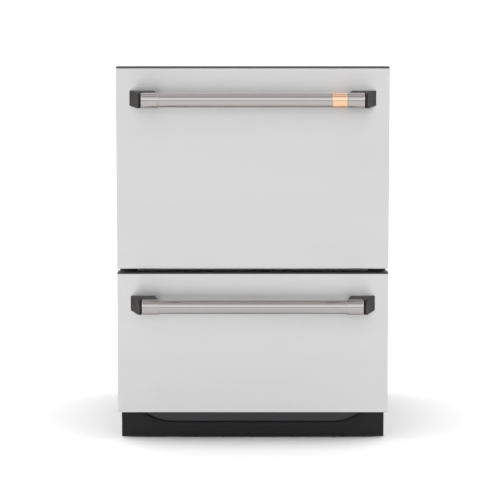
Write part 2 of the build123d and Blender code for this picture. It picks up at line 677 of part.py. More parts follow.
def make_compressor():
    """Hermetic compressor: welded shell, foot plate, terminal box and pipe stubs."""
    x, y, base = COMPRESSOR_X, MACHINE_MID_Y, COMPRESSOR_BASE
    r, h = COMPRESSOR_RADIUS, COMPRESSOR_HEIGHT
    with BuildPart() as shell:
        with BuildSketch(Plane(origin=(x, y, base), x_dir=(1, 0, 0), z_dir=(0, -1, 0))):
            with BuildLine():
                low = Line((0, 0), (r * 0.7, 0))
                bowl = TangentArc(low @ 1, (r, h * 0.25), tangent=(1, 0))
                wall = Line(bowl @ 1, (r, h * 0.7))
                dome = TangentArc(wall @ 1, (r * 0.35, h), tangent=(0, 1))
                crown = Line(dome @ 1, (0, h))
                Line(crown @ 1, low @ 0)
            make_face()
        revolve(axis=Axis((x, y, 0), (0, 0, 1)))
        rod((x, y, base + h / 2), (0, 0, 1), r + WELD_FLANGE, WELD_FLANGE)
        foot = (base - FOOT_BELOW, base + FOOT_ABOVE)
        block((x - FOOT_HALF[0], x + FOOT_HALF[0]), (y - FOOT_HALF[1], y + FOOT_HALF[1]), foot)
        for place in foot_places(foot[0]):
            rod(place, (0, 0, 1), FOOT_HOLE_RADIUS, foot[1] - foot[0], Mode.SUBTRACT)
        box_y = tuple(y - r + depth for depth in TERMINAL_DEPTH)
        box_z = tuple(base + rise for rise in TERMINAL_RISE)
        block((x - TERMINAL_HALF, x + TERMINAL_HALF), box_y, box_z)
        start = x - r + STUB_START
        discharge = (start, y - STUB_SPREAD, base + DISCHARGE_RISE)
        rod(discharge, (-1, 0, 0), DISCHARGE_RADIUS, STUB_LENGTH)
        suction = (start, y + STUB_SPREAD, base + SUCTION_RISE)
        rod(suction, (-1, 0, 0), SUCTION_RADIUS, STUB_LENGTH)
    save(shell.part, "compressor")


def make_grommets():
    """Rubber mounts between the compressor's foot plate and the base pan."""
    with BuildPart() as grommets:
        for place in foot_places(PAN_TOP):
            rod(place, (0, 0, 1), GROMMET_RADIUS, COMPRESSOR_LIFT - FOOT_BELOW)
            rod(place, (0, 0, 1), GROMMET_NECK_RADIUS, GROMMET_HEIGHT)
    save(grommets.part, "compressor_grommets")


def make_condenser():
    """Fin-and-tube condenser beside the fan, its fins lying along the air stream."""
    x, y = CONDENSER_X, MACHINE_FAN_Y
    low = CONDENSER_TOP - CONDENSER_HEIGHT
    count = int(CONDENSER_LENGTH / CONDENSER_FIN_PITCH)
    half = CONDENSER_WIDTH / 2
    reach = CONDENSER_LENGTH / 2 + CONDENSER_TUBE_OVERHANG
    rows = [low + CONDENSER_FIRST_ROW + row * CONDENSER_ROW_PITCH for row in range(CONDENSER_ROWS)]
    with BuildPart() as coil:
        for i in range(count + 1):
            fin_y = y - CONDENSER_LENGTH / 2 + i * CONDENSER_FIN_PITCH
            block((x - half, x + half), (fin_y, fin_y + FIN), (low, CONDENSER_TOP))
        for z in rows:
            for column in (-1, 1):
                start = (x + column * CONDENSER_TUBE_SPREAD, y - reach, z)
                rod(start, (0, 1, 0), TUBE_RADIUS, 2 * reach)
        for end in (-1, 1):
            plate = y + end * (CONDENSER_LENGTH / 2 + END_PLATE_GAP)
            plate_y = (plate - END_PLATE / 2, plate + END_PLATE / 2)
            block((x - half, x + half), plate_y, (PAN_TOP, CONDENSER_TOP))
            bend_x = (x - CONDENSER_TUBE_SPREAD, x + CONDENSER_TUBE_SPREAD)
            bend_y = sorted((y + end * reach, y + end * (reach - BEND_DEPTH)))
            for z in rows:
                block(bend_x, bend_y, (z - BEND_HEIGHT / 2, z + BEND_HEIGHT / 2))
    save(coil.part, "condenser")


def make_rotor(name, centre, axis, radius, hub, depth, bore):
    """Five-bladed axial fan rotor with a through bore, turning about an axis."""
    with BuildPart(Plane(origin=centre, z_dir=axis)) as rotor:
        Cylinder(hub, depth)
        with PolarLocations(0, BLADE_COUNT):
            with Locations(Location(((radius + hub) / 2, 0, 0), (BLADE_PITCH, 0, 0))):
                Box(radius - hub + BLADE_ROOT, depth * BLADE_CHORD, BLADE_THICKNESS)
        Cylinder(radius, depth, mode=Mode.INTERSECT)
        Cylinder(bore, depth * 2, mode=Mode.SUBTRACT)
    save(rotor.part, name)


def make_condenser_fan():
    """Machine-compartment fan: shroud plate with motor bridge, motor, and bladed rotor."""
    x, y, z = SHROUD_X, MACHINE_FAN_Y, MACHINE_FAN_Z
    hole = MACHINE_FAN_RADIUS + SHROUD_HOLE_GAP
    motor_x = x + MACHINE_FAN_DEPTH + MACHINE_MOTOR_GAP
    motor_end = motor_x + MACHINE_MOTOR_LENGTH
    strut_z = (z - STRUT_HALF, z + STRUT_HALF)
    with BuildPart() as shroud:
        plate_y = (y - SHROUD_HALF, y + SHROUD_HALF)
        block((x, x + SHROUD_WALL), plate_y, (PAN_TOP, z + hole + SHROUD_RIM))
        rod((x, y, z), (1, 0, 0), hole, SHROUD_WALL, Mode.SUBTRACT)
        for side in (-1, 1):
            strut = sorted((y + side * (hole + STRUT_OUTER), y + side * (hole - STRUT_INNER)))
            block((x, motor_end + SHROUD_WALL), strut, strut_z)
        bridge = (y - hole - STRUT_OUTER, y + hole + STRUT_OUTER)
        block((motor_end, motor_end + SHROUD_WALL), bridge, strut_z)
    save(shroud.part, "fan_shroud")

    with BuildPart() as motor:
        rod((motor_x, y, z), (1, 0, 0), MACHINE_MOTOR_RADIUS, MACHINE_MOTOR_LENGTH)
        rod((motor_x, y, z), (-1, 0, 0), MACHINE_SHAFT_RADIUS, MACHINE_FAN_DEPTH)
    save(motor.part, "condenser_fan_motor")

    make_rotor(
        "condenser_fan_rotor",
        (x + MACHINE_FAN_DEPTH / 2 + MACHINE_ROTOR_SHIFT, y, z),
        (1, 0, 0),
        MACHINE_FAN_RADIUS,
        MACHINE_HUB_RADIUS,
        MACHINE_BLADE_DEPTH,
        MACHINE_SHAFT_RADIUS + RUNNING_FIT,
    )


def make_drip_tray():
    """Evaporation tray on the base pan, between the fan and the compressor."""
    y = tuple(MACHINE_Y + depth for depth in DRIP_TRAY_Y)
    z = (PAN_TOP, PAN_TOP + DRIP_TRAY_HEIGHT)
    wall = DRIP_TRAY_WALL
    with BuildPart() as tray:
        block(DRIP_TRAY_X, y, z)
        fillet(tray.edges().filter_by(Axis.Z), DRIP_TRAY_CORNER)
        well = (DRIP_TRAY_X[0] + wall, DRIP_TRAY_X[1] - wall)
        block(well, (y[0] + wall, y[1] - wall), (z[0] + wall, z[1]), Mode.SUBTRACT)
    save(tray.part, "drip_tray")


def make_lines():
    """Discharge and suction lines of the refrigerant circuit, bent copper tube."""
    left = COMPRESSOR_X - COMPRESSOR_RADIUS + STUB_START - STUB_LENGTH
    y, top = MACHINE_MID_Y, MACHINE_TOP - LINE_ROOF_GAP
    run = left - LINE_RUN
    far = CONDENSER_X + CONDENSER_TUBE_SPREAD
    discharge = [
        (left, y - STUB_SPREAD, COMPRESSOR_BASE + DISCHARGE_RISE),
        (run, y - STUB_SPREAD, COMPRESSOR_BASE + DISCHARGE_RISE),
        (run, y - STUB_SPREAD, top),
        (run, y - DISCHARGE_FRONT, top),
        (far, y - DISCHARGE_FRONT, top),
        (far, y - DISCHARGE_FRONT, CONDENSER_TOP),
    ]
    suction = [
        (left, y + STUB_SPREAD, COMPRESSOR_BASE + SUCTION_RISE),
        (run, y + STUB_SPREAD, COMPRESSOR_BASE + SUCTION_RISE),
        (run, y + STUB_SPREAD, top - LINE_STEP),
        (run, y + SUCTION_REAR, top - LINE_STEP),
        (run, y + SUCTION_REAR, MACHINE_TOP),
    ]
    with BuildPart() as tubes:
        for route in (discharge, suction):
            with BuildLine() as path:
                FilletPolyline(*route, radius=LINE_BEND)
            with BuildSketch(Plane(origin=path.line @ 0, z_dir=path.line % 0)):
                Circle(LINE_RADIUS)
            sweep(path=path.line)
    save(tubes.part, "refrigerant_lines")


# ---------------------------------------------------------------- cooling inside
def make_duct_cover():
    """Moulded cover over the evaporator, with a round fan grille and return slots."""
    half = DUCT_WIDTH / 2
    with BuildPart() as duct:
        block((-half, half), (DUCT_Y, LINER_BACK), (DUCT_FLOOR, DUCT_TOP))
        fillet(duct.edges().group_by(Axis.Y)[0], DUCT_EDGE)
        inner = half - DUCT_WALL
        low, high = DUCT_FLOOR + DUCT_WALL, DUCT_TOP - DUCT_WALL
        block((-inner, inner), (DUCT_Y + DUCT_WALL, LINER_BACK), (low, high), Mode.SUBTRACT)
        with BuildSketch(Plane.XZ.offset(-DUCT_Y)):
            with Locations((0, EVAP_FAN_Z)):
                for radius in GRILLE_RADII:
                    Circle(radius + GRILLE_SLOT / 2)
                    Circle(radius - GRILLE_SLOT / 2, mode=Mode.SUBTRACT)
                with PolarLocations(0, GRILLE_SPOKES):
                    Rectangle(2 * EVAP_FAN_RADIUS, GRILLE_SPOKE, mode=Mode.SUBTRACT)
            with Locations((0, DUCT_FLOOR + RETURN_LIFT)):
                with GridLocations(RETURN_PITCH_X, RETURN_PITCH_Z, RETURN_COLUMNS, RETURN_ROWS):
                    SlotOverall(RETURN_LENGTH, RETURN_HEIGHT)
        extrude(amount=-DUCT_WALL, mode=Mode.SUBTRACT)
    save(duct.part, "evaporator_cover")


def make_evaporator():
    """Fin-and-tube evaporator behind the duct cover."""
    half = EVAP_WIDTH / 2
    y = (LINER_BACK - EVAP_DEPTH, LINER_BACK)
    low = DUCT_FLOOR + EVAP_LIFT
    reach = half + EVAP_TUBE_OVERHANG
    depths = [y[0] + share * EVAP_DEPTH for share in EVAP_TUBE_DEPTHS]
    rows = [low + EVAP_FIRST_ROW + row * EVAP_ROW_PITCH for row in range(EVAP_ROWS)]
    with BuildPart() as coil:
        for i in range(int(EVAP_WIDTH / EVAP_FIN_PITCH) + 1):
            x = -half + i * EVAP_FIN_PITCH
            block((x, x + FIN), y, (low, low + EVAP_HEIGHT))
        for z in rows:
            for tube_y in depths:
                rod((-reach, tube_y, z), (1, 0, 0), TUBE_RADIUS, 2 * reach)
            for end in (-1, 1):
                bend = sorted((end * reach, end * (reach - EVAP_BEND_WIDTH)))
                block(bend, depths, (z - BEND_HEIGHT / 2, z + BEND_HEIGHT / 2))
    save(coil.part, "evaporator")


def make_evaporator_fan():
    """Motor on the liner's rear wall and the rotor that blows through the grille."""
    motor_y = LINER_BACK - EVAP_MOTOR_LENGTH
    shaft = motor_y - DUCT_Y - EVAP_SHAFT_GAP
    with BuildPart() as motor:
        rod((0, LINER_BACK, EVAP_FAN_Z), (0, -1, 0), EVAP_MOTOR_RADIUS, EVAP_MOTOR_LENGTH)
        fillet(motor.edges().group_by(Axis.Y)[0], EVAP_MOTOR_EDGE)
        rod((0, motor_y, EVAP_FAN_Z), (0, -1, 0), EVAP_SHAFT_RADIUS, shaft)
    save(motor.part, "evaporator_fan_motor")

    make_rotor(
        "evaporator_fan_rotor",
        (0, DUCT_Y + DUCT_WALL + EVAP_FAN_GAP + EVAP_FAN_DEPTH / 2, EVAP_FAN_Z),
        (0, 1, 0),
        EVAP_FAN_RADIUS,
        EVAP_HUB_RADIUS,
        EVAP_BLADE_DEPTH,
        EVAP_SHAFT_RADIUS + RUNNING_FIT,
    )


# ---------------------------------------------------------------- controls and lights
PANEL_Y = CASE_Y + PANEL_SETBACK
PANEL_Z = LINER_TOP - PANEL_HEIGHT / 2
BUTTONS = ["power_button", "warmer_button", "cooler_button"]


def button_x(index):
    """Middle of a button across the panel, all to the right of the display."""
    return BUTTON_FIRST + index * BUTTON_PITCH


def make_control_panel():
    """Control housing under the liner's ceiling, seen when the upper drawer is open."""
    half = PANEL_WIDTH / 2
    low = LINER_TOP - PANEL_HEIGHT
    rear = PANEL_Y + PANEL_DEPTH
    inner = half - PANEL_WALL
    wall = (PANEL_Y, PANEL_Y + PANEL_WALL)
    window_x = (DISPLAY_X - DISPLAY_WIDTH / 2, DISPLAY_X + DISPLAY_WIDTH / 2)
    window_z = (PANEL_Z - DISPLAY_HEIGHT / 2, PANEL_Z + DISPLAY_HEIGHT / 2)
    with BuildPart() as housing:
        block((-half, half), (PANEL_Y, rear), (low, LINER_TOP))
        fillet(housing.edges().filter_by(Axis.X).group_by(Axis.Z)[0], PANEL_EDGE)
        hollow = (low + PANEL_WALL, LINER_TOP)
        block((-inner, inner), (wall[1], rear - PANEL_WALL), hollow, Mode.SUBTRACT)
        block(window_x, wall, window_z, Mode.SUBTRACT)
        half_w = BUTTON_WIDTH / 2 + BUTTON_CLEARANCE
        half_h = BUTTON_HEIGHT / 2 + BUTTON_CLEARANCE
        opening = (PANEL_Z - half_h, PANEL_Z + half_h)
        for i in range(len(BUTTONS)):
            x = button_x(i)
            block((x - half_w, x + half_w), wall, opening, Mode.SUBTRACT)
    save(housing.part, "control_housing")

    with BuildPart() as lens:
        block(window_x, wall, window_z)
    save(lens.part, "display_lens")

    for i, name in enumerate(BUTTONS):
        with BuildPart() as button:
            x, start = button_x(i), PANEL_Y - BUTTON_PROUD
            block(
                (x - BUTTON_WIDTH / 2, x + BUTTON_WIDTH / 2),
                (start, start + BUTTON_LENGTH),
                (PANEL_Z - BUTTON_HEIGHT / 2, PANEL_Z + BUTTON_HEIGHT / 2),
            )
            fillet(button.edges().filter_by(Axis.Y), BUTTON_CORNER)
            fillet(button.faces().sort_by(Axis.Y)[0].edges(), BUTTON_EDGE)
        save(button.part, name)


def make_light_bars():
    """Two light bars: under the liner's ceiling and under the mullion."""
    half = LIGHT_LENGTH / 2
    ceiling_y = PANEL_Y + PANEL_DEPTH + LIGHT_GAP
    mullion_y = CASE_Y + (MULLION_DEPTH - LIGHT_WIDTH) / 2
    with BuildPart() as bars:
        for y, z in ((ceiling_y, LINER_TOP), (mullion_y, MULLION_BOTTOM)):
            block((-half, half), (y, y + LIGHT_WIDTH), (z - LIGHT_HEIGHT, z))
            newest = bars.solids().sort_by(Axis.Z)[0]
            lowest = newest.edges().filter_by(Axis.X).group_by(Axis.Z)[0]
            fillet(lowest, LIGHT_EDGE)
    save(bars.part, "light_bars")


def make_brackets():
    """Z-shaped brackets on the cabinet top that screw to the underside of a counter."""
    half = BRACKET_WIDTH / 2
    low, high = CASE_TOP, CASE_TOP + BRACKET_RISE
    with BuildPart() as bracket:
        x = (BRACKET_X - half, BRACKET_X + half)
        block(x, (CASE_Y, CASE_Y + BRACKET_WIDTH), (low, low + BRACKET_SHEET))
        riser = CASE_Y + BRACKET_WIDTH
        block(x, (riser - BRACKET_SHEET, riser), (low, high))
        block(x, (riser - BRACKET_SHEET, riser + BRACKET_WIDTH), (high - BRACKET_SHEET, high))
        rod((BRACKET_X, CASE_Y + half, low), (0, 0, 1), SCREW_HOLE_RADIUS, BRACKET_SHEET, Mode.SUBTRACT)
        tab = (BRACKET_X, riser + half, high - BRACKET_SHEET)
        rod(tab, (0, 0, 1), BRACKET_HOLE_RADIUS, BRACKET_SHEET, Mode.SUBTRACT)
        mirror(about=Plane.YZ)
    save(bracket.part, "counter_brackets")


# ---------------------------------------------------------------- slides
SLIDE_LENGTHS = {"upper": UPPER_SLIDE_LENGTH, "lower": LOWER_SLIDE_LENGTH}
FLOORS = {"upper": MULLION_TOP, "lower": LINER_FLOOR}


def slide_z(drawer):
    """Height of a drawer's slides, at the middle of its frame's sides."""
    return FLOORS[drawer] + FRAME_FLOOR_GAP + FRAME_HEIGHT / 2


def channel(drawer, web, edge, depth):
    """One slide member on the +X side: web and flanges, by distances from the liner's wall.

    `depth` is 0 for the outer member, 1 for the middle one and 2 for the drawer's one.
    """
    reach = SLIDE_HEIGHT / 2 - depth * (SLIDE_SHEET + SLIDE_PLAY)
    y = (SLIDE_Y, SLIDE_Y + SLIDE_LENGTHS[drawer])
    z = slide_z(drawer)
    low, high = sorted((web, edge))
    block((LINER_HALF - high, LINER_HALF - low), y, (z - reach, z + reach))
    if web < edge:
        low = web + SLIDE_SHEET
    else:
        high = web - SLIDE_SHEET
    inner = reach - SLIDE_SHEET
    block((LINER_HALF - high, LINER_HALF - low), y, (z - inner, z + inner), Mode.SUBTRACT)


def make_slides(drawer):
    """Cabinet members and middle members of a drawer's two slides."""
    with BuildPart() as outer:
        channel(drawer, 0, SLIDE_DEPTH, 0)
        mirror(about=Plane.YZ)
    save(outer.part, f"{drawer}_cabinet_rails")

    with BuildPart() as middle:
        channel(drawer, SLIDE_STEP, SLIDE_DEPTH, 1)
        mirror(about=Plane.YZ)
    save(middle.part, f"{drawer}_middle_rails")


def make_drawer_frame(drawer):
    """Steel drawer frame: side plates with the drawer members, cross bars, front flanges."""
    rear = SLIDE_Y + SLIDE_LENGTHS[drawer]
    low = FLOORS[drawer] + FRAME_FLOOR_GAP
    high = low + FRAME_HEIGHT
    plate = (FRAME_HALF - FRAME_SHEET, FRAME_HALF)
    with BuildPart() as frame:
        web = 2 * SLIDE_STEP + SLIDE_SHEET
        channel(drawer, web, SLIDE_STEP + SLIDE_SHEET + SLIDE_PLAY, 2)
        block(plate, (FRONT_BACK_Y, rear), (low, high))
        flange = (FRONT_BACK_Y, FRONT_BACK_Y + FRAME_SHEET)
        block((FRAME_HALF - FRAME_CROSS_BAR, FRAME_HALF), flange, (low, high))
        mirror(about=Plane.YZ)
        base = (low, low + FRAME_SHEET)
        for start in (FRONT_BACK_Y, rear - FRAME_CROSS_BAR):
            block((-FRAME_HALF, FRAME_HALF), (start, start + FRAME_CROSS_BAR), base)
    save(frame.part, f"{drawer}_drawer_frame")


# ---------------------------------------------------------------- bins
BIN_TOPS = {
    "upper": LINER_TOP - UPPER_BIN_HEADROOM,
    "lower": MULLION_BOTTOM - LOWER_BIN_HEADROOM,
}


def bin_depth(drawer):
    """A bin's front and rear faces along Y."""
    return FRONT_BACK_Y + BIN_FRONT_GAP, SLIDE_Y + SLIDE_LENGTHS[drawer]


def make_bin(drawer):
    """Clear plastic bin that rests on the drawer frame, with a rim along both sides."""
    front, rear = bin_depth(drawer)
    middle = (0, (front + rear) / 2)
    length = rear - front
    low = FLOORS[drawer] + FRAME_FLOOR_GAP + FRAME_SHEET
    high = BIN_TOPS[drawer]
    with BuildPart() as tub:
        with BuildSketch(Plane.XY.offset(low)):
            with Locations(middle):
                RectangleRounded(2 * BIN_HALF, length, BIN_CORNER)
        extrude(amount=high - low)
        fillet(tub.edges().group_by(Axis.Z)[0], BIN_WALL)
        with BuildSketch(Plane.XY.offset(high - BIN_WALL)):
            with Locations(middle):
                RectangleRounded(2 * (BIN_HALF + BIN_RIM), length, BIN_CORNER)
        extrude(amount=BIN_WALL)
        with BuildSketch(Plane.XY.offset(low + BIN_WALL)):
            with Locations(middle):
                inside = BIN_CORNER - BIN_WALL
                RectangleRounded(2 * (BIN_HALF - BIN_WALL), length - 2 * BIN_WALL, inside)
        extrude(amount=high - low, mode=Mode.SUBTRACT)
    save(tub.part, f"{drawer}_bin")


def make_divider():
    """Cross plate that slides along the upper bin, hooked over both rims."""
    front, rear = bin_depth("upper")
    top = BIN_TOPS["upper"]
    middle = (front + rear) / 2
    y = (middle - DIVIDER_THICKNESS / 2, middle + DIVIDER_THICKNESS / 2)
    half = BIN_HALF - BIN_WALL - DIVIDER_CLEARANCE
    with BuildPart() as plate:
        block((-half, half), y, (top - DIVIDER_HEIGHT, top + DIVIDER_LIFT))
        fillet(plate.edges().filter_by(Axis.Y).group_by(Axis.Z)[0], DIVIDER_CORNER)
        hook = BIN_HALF + BIN_RIM / 2
        block((-hook, hook), y, (top + DIVIDER_LIFT, top + DIVIDER_LIFT + DIVIDER_THICKNESS))
    save(plate.part, "upper_bin_divider")


# ---------------------------------------------------------------- drawer fronts
FRONTS = {
    "upper": (UPPER_FRONT_BOTTOM, UPPER_FRONT_TOP),
    "lower": (TOE_HEIGHT, LOWER_FRONT_TOP),
}


def handle_z(drawer):
    """Height of a drawer's handle."""
    return FRONTS[drawer][1] - HANDLE_DROP


def arm_x(y_out):
    """Outer and inner faces of a handle arm at a distance in front of the skin."""
    share = y_out / HANDLE_STANDOFF
    outer = ARM_OUTER_BASE + share * (ARM_OUTER_AXIS - ARM_OUTER_BASE)
    inner = ARM_INNER_BASE + share * (ARM_INNER_AXIS - ARM_INNER_BASE)
    return outer, inner


CHEEK_X = arm_x(HANDLE_REACH)[0] - ARM_CHEEK  # where the bar and its sleeves end
STUD_X = (arm_x(0)[0] + arm_x(0)[1]) / 2


def studs(drawer, radius, start, length, mode=Mode.ADD):
    """The arms' fixing studs, or their holes, as round bars from a start along Y."""
    for side in (-1, 1):
        rod((side * STUD_X, start, handle_z(drawer)), (0, 1, 0), radius, length, mode)


def make_front(drawer):
    """A drawer front: steel skin, dark top cap, plastic inner tray and foam between them."""
    low, high = FRONTS[drawer]
    half = FRONT_WIDTH / 2
    seam_y = FRONT_Y + SKIN_RETURN
    hole = STUD_RADIUS + STUD_CLEARANCE
    inner = half - SKIN
    with BuildPart() as skin:
        block((-half, half), (FRONT_Y, seam_y), (low, high))
        fillet(skin.edges().filter_by(Axis.Y), SKIN_EDGE_RADIUS)
        fillet(skin.faces().sort_by(Axis.Y)[0].edges(), SKIN_FACE_ROUNDING)
        block((-inner, inner), (FRONT_Y + SKIN, seam_y), (low + SKIN, high - SKIN), Mode.SUBTRACT)
        studs(drawer, hole, FRONT_Y, SKIN, Mode.SUBTRACT)
    save(skin.part, f"{drawer}_front_skin")

    with BuildPart() as cap:
        cap_y = (FRONT_Y + TRIM_SETBACK, FRONT_BACK_Y)
        block((-half, half), cap_y, (high, high + TRIM_HEIGHT))
        ends = cap.edges().filter_by(Axis.Y).group_by(Axis.Z)[-1]
        chamfer(ends, TRIM_CHAMFER)
    save(cap.part, f"{drawer}_top_cap")

    wall = FRONT_LINER_WALL
    hollow = inner - wall
    hollow_y = (seam_y, FRONT_BACK_Y - wall)
    hollow_z = (low + SKIN + wall, high - wall)
    with BuildPart() as tray:
        block((-inner, inner), (seam_y, FRONT_BACK_Y), (low + SKIN, high))
        block((-hollow, hollow), hollow_y, hollow_z, Mode.SUBTRACT)
    save(tray.part, f"{drawer}_front_tray")

    with BuildPart() as core:
        block((-hollow, hollow), hollow_y, hollow_z)
        block((-inner, inner), (FRONT_Y + SKIN, seam_y), (low + SKIN, high - SKIN))
        studs(drawer, hole, FRONT_Y, STUD_LENGTH + STUD_END_GAP, Mode.SUBTRACT)
    save(core.part, f"{drawer}_front_core")


def seal_spans(drawer):
    """Outer edges of a drawer's seal along X and Z."""
    half = (HALF_CASE + LINER_HALF + LINER_WALL + GASKET_WIDTH) / 2
    low, high = FRONTS[drawer]
    if drawer == "upper":
        crown = (CASE_TOP + LINER_TOP + LINER_WALL + GASKET_WIDTH) / 2
        return half, (low + GASKET_EDGE, crown)
    sill = (DECK_Z + LINER_FLOOR - LINER_WALL - GASKET_WIDTH) / 2
    return half, (sill, high - GASKET_EDGE)


def make_gasket(drawer):
    """Magnetic seal: root strip on the tray, narrower bellows, magnet strip on the case."""
    half, (low, high) = seal_spans(drawer)
    root = FRONT_BACK_Y + GASKET_STRIP
    magnet = CASE_Y - GASKET_STRIP
    steps = [
        ((FRONT_BACK_Y, root), 0),
        ((root, magnet), GASKET_WAIST),
        ((magnet, CASE_Y), 0),
    ]
    with BuildPart() as seal:
        for y, inset in steps:
            block((-half + inset, half - inset), y, (low + inset, high - inset))
        for y, inset in steps:
            hole = half - GASKET_WIDTH + inset
            rise = GASKET_WIDTH - inset
            block((-hole, hole), y, (low + rise, high - rise), Mode.SUBTRACT)
    save(seal.part, f"{drawer}_gasket")


# ---------------------------------------------------------------- handles
def make_arms(drawer):
    """Dark arms between the skin and the bar, with a cheek that closes each bar end."""
    z = handle_z(drawer)
    axis_y = FRONT_Y - HANDLE_STANDOFF
    outer_base, inner_base = arm_x(0)
    outer_tip, inner_tip = arm_x(HANDLE_REACH)
    with BuildPart() as arms:
        with BuildSketch(Plane.XY.offset(z - SLEEVE_RADIUS)):
            with BuildLine():
                Polyline(
                    (outer_base, FRONT_Y),
                    (outer_tip, FRONT_Y - HANDLE_REACH),
                    (inner_tip, FRONT_Y - HANDLE_REACH),
                    (inner_base, FRONT_Y),
                    close=True,
                )
            make_face()
        extrude(amount=2 * SLEEVE_RADIUS)
        with BuildSketch(Plane.YZ):
            with Locations((axis_y, z)):
                Circle(SLEEVE_RADIUS)
            with Locations(((axis_y + FRONT_Y) / 2, z)):
                Rectangle(HANDLE_STANDOFF, 2 * SLEEVE_RADIUS)
        extrude(amount=outer_base, mode=Mode.INTERSECT)
        notch = (FRONT_Y - HANDLE_REACH, axis_y + ARM_STOP)
        block((0, CHEEK_X), notch, (z - SLEEVE_RADIUS, z + SLEEVE_RADIUS), Mode.SUBTRACT)
        rod((0, axis_y, z), (1, 0, 0), SLEEVE_RADIUS, CHEEK_X, Mode.SUBTRACT)
        rod((STUD_X, FRONT_Y, z), (0, 1, 0), STUD_RADIUS, STUD_LENGTH)
        mirror(about=Plane.YZ)
    save(arms.part, f"{drawer}_handle_arms")


def make_handle(drawer):
    """Steel bar, the sleeves over its ends, and the copper band on the upper bar."""
    z = handle_z(drawer)
    axis_y = FRONT_Y - HANDLE_STANDOFF
    with BuildPart() as bar:
        rod((-CHEEK_X, axis_y, z), (1, 0, 0), BAR_RADIUS, 2 * CHEEK_X)
        rod((-CHEEK_X, axis_y, z), (1, 0, 0), BAR_RADIUS - BAR_WALL, 2 * CHEEK_X, Mode.SUBTRACT)
    save(bar.part, f"{drawer}_handle_bar")

    with BuildPart() as sleeves:
        length = CHEEK_X - SLEEVE_INNER_END
        rod((SLEEVE_INNER_END, axis_y, z), (1, 0, 0), SLEEVE_RADIUS, length)
        rod((SLEEVE_INNER_END, axis_y, z), (1, 0, 0), BAR_RADIUS, length, Mode.SUBTRACT)
        mirror(about=Plane.YZ)
    save(sleeves.part, f"{drawer}_handle_sleeves")

    if drawer == "upper":
        with BuildPart() as band:
            length = BAND_OUTER - BAND_INNER
            rod((BAND_INNER, axis_y, z), (1, 0, 0), SLEEVE_RADIUS, length)
            rod((BAND_INNER, axis_y, z), (1, 0, 0), BAR_RADIUS, length, Mode.SUBTRACT)
        save(band.part, "upper_handle_band")


# ---------------------------------------------------------------- all sub-parts
os.makedirs("parts", exist_ok=True)

make_case_wrapper()
make_bottom_deck()
make_inner_liner()
make_foam()
make_back_panel()
make_mullion()
make_base_pan()
make_legs()
make_kick_plate()

make_machine_cover()
make_power_inlet()
make_case_screws()
make_compressor()
make_grommets()
make_condenser()
make_condenser_fan()
make_drip_tray()
make_lines()

make_duct_cover()
make_evaporator()
make_evaporator_fan()
make_control_panel()
make_light_bars()
make_brackets()

for drawer in ("upper", "lower"):
    make_slides(drawer)
    make_drawer_frame(drawer)
    make_bin(drawer)
    make_front(drawer)
    make_gasket(drawer)
    make_arms(drawer)
    make_handle(drawer)
make_divider()
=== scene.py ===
# %% [markdown]
# # A two-drawer under-counter refrigerator
#
# The frame holds every part at its true size. This lesson dresses it: drawer fronts of brushed
# stainless sheet, round bar handles, a moulded toe plate, seals, bins and a white floor to stand on.
# Each step says what the piece is on the real appliance, what ways there are to make it, and why
# one of them was chosen. All lengths are in metres; `MM` turns drawing sizes into metres.

# %% Load the frame
import math

import bpy
import numpy as np
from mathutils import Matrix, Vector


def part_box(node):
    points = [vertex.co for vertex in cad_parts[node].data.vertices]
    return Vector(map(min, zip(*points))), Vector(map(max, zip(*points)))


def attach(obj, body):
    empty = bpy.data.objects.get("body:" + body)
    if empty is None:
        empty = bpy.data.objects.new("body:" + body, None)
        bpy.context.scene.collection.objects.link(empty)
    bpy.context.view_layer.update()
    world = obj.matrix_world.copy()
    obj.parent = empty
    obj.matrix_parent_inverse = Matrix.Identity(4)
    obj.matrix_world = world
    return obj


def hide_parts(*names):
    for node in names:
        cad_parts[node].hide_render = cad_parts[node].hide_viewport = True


MM = 0.001
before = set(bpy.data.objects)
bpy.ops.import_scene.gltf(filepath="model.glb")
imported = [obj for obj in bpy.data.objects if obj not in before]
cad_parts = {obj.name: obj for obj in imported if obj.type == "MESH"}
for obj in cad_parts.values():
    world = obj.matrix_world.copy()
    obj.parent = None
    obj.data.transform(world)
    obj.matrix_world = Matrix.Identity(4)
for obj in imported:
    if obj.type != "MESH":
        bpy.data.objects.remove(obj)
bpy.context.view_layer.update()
scene = bpy.context.scene

# %% [markdown]
# ## Where things are
#
# What a box can't tell, such as the curve of the toe plate's pocket or the pitch of the louvres,
# is a named value beside its piece.

# %% Read the places
DRAWERS = ("upper", "lower")


def corners(node):
    """A node's low and high corners as two arrays."""
    low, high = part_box(node)
    return np.array(low), np.array(high)


SKINS = {name: corners(f"{name}_front_skin") for name in DRAWERS}
FACE_Y = SKINS["upper"][0][1]
print("fronts stand at y =", round(float(FACE_Y), 4))

# %% [markdown]
# ## The camera
#
# A product picture is taken from well back with a long lens, so that upright edges stay almost
# parallel. The camera stands a little above the appliance and tips down to its middle. The lens
# is worked out from how much width the frame should take in at the fronts.

# %% Set up the camera
CAMERA_DISTANCE = 6.0
CAMERA_TILT = math.radians(8.5)
FRAME_WIDTH = 1.109
AIM_Z = 0.4435
AIM_X = -0.0062
SENSOR = 0.036

camera_data = bpy.data.cameras.new("camera")
camera = bpy.data.objects.new("camera", camera_data)
scene.collection.objects.link(camera)
eye_height = AIM_Z + CAMERA_DISTANCE * math.tan(CAMERA_TILT)
camera.location = (AIM_X, FACE_Y - CAMERA_DISTANCE, eye_height)
camera.rotation_euler = (math.pi / 2 - CAMERA_TILT, 0, 0)
camera_data.sensor_width = SENSOR / MM
camera_data.lens = CAMERA_DISTANCE / math.cos(CAMERA_TILT) * SENSOR / FRAME_WIDTH / MM
scene.camera = camera
print("lens", round(camera_data.lens, 1), "mm")

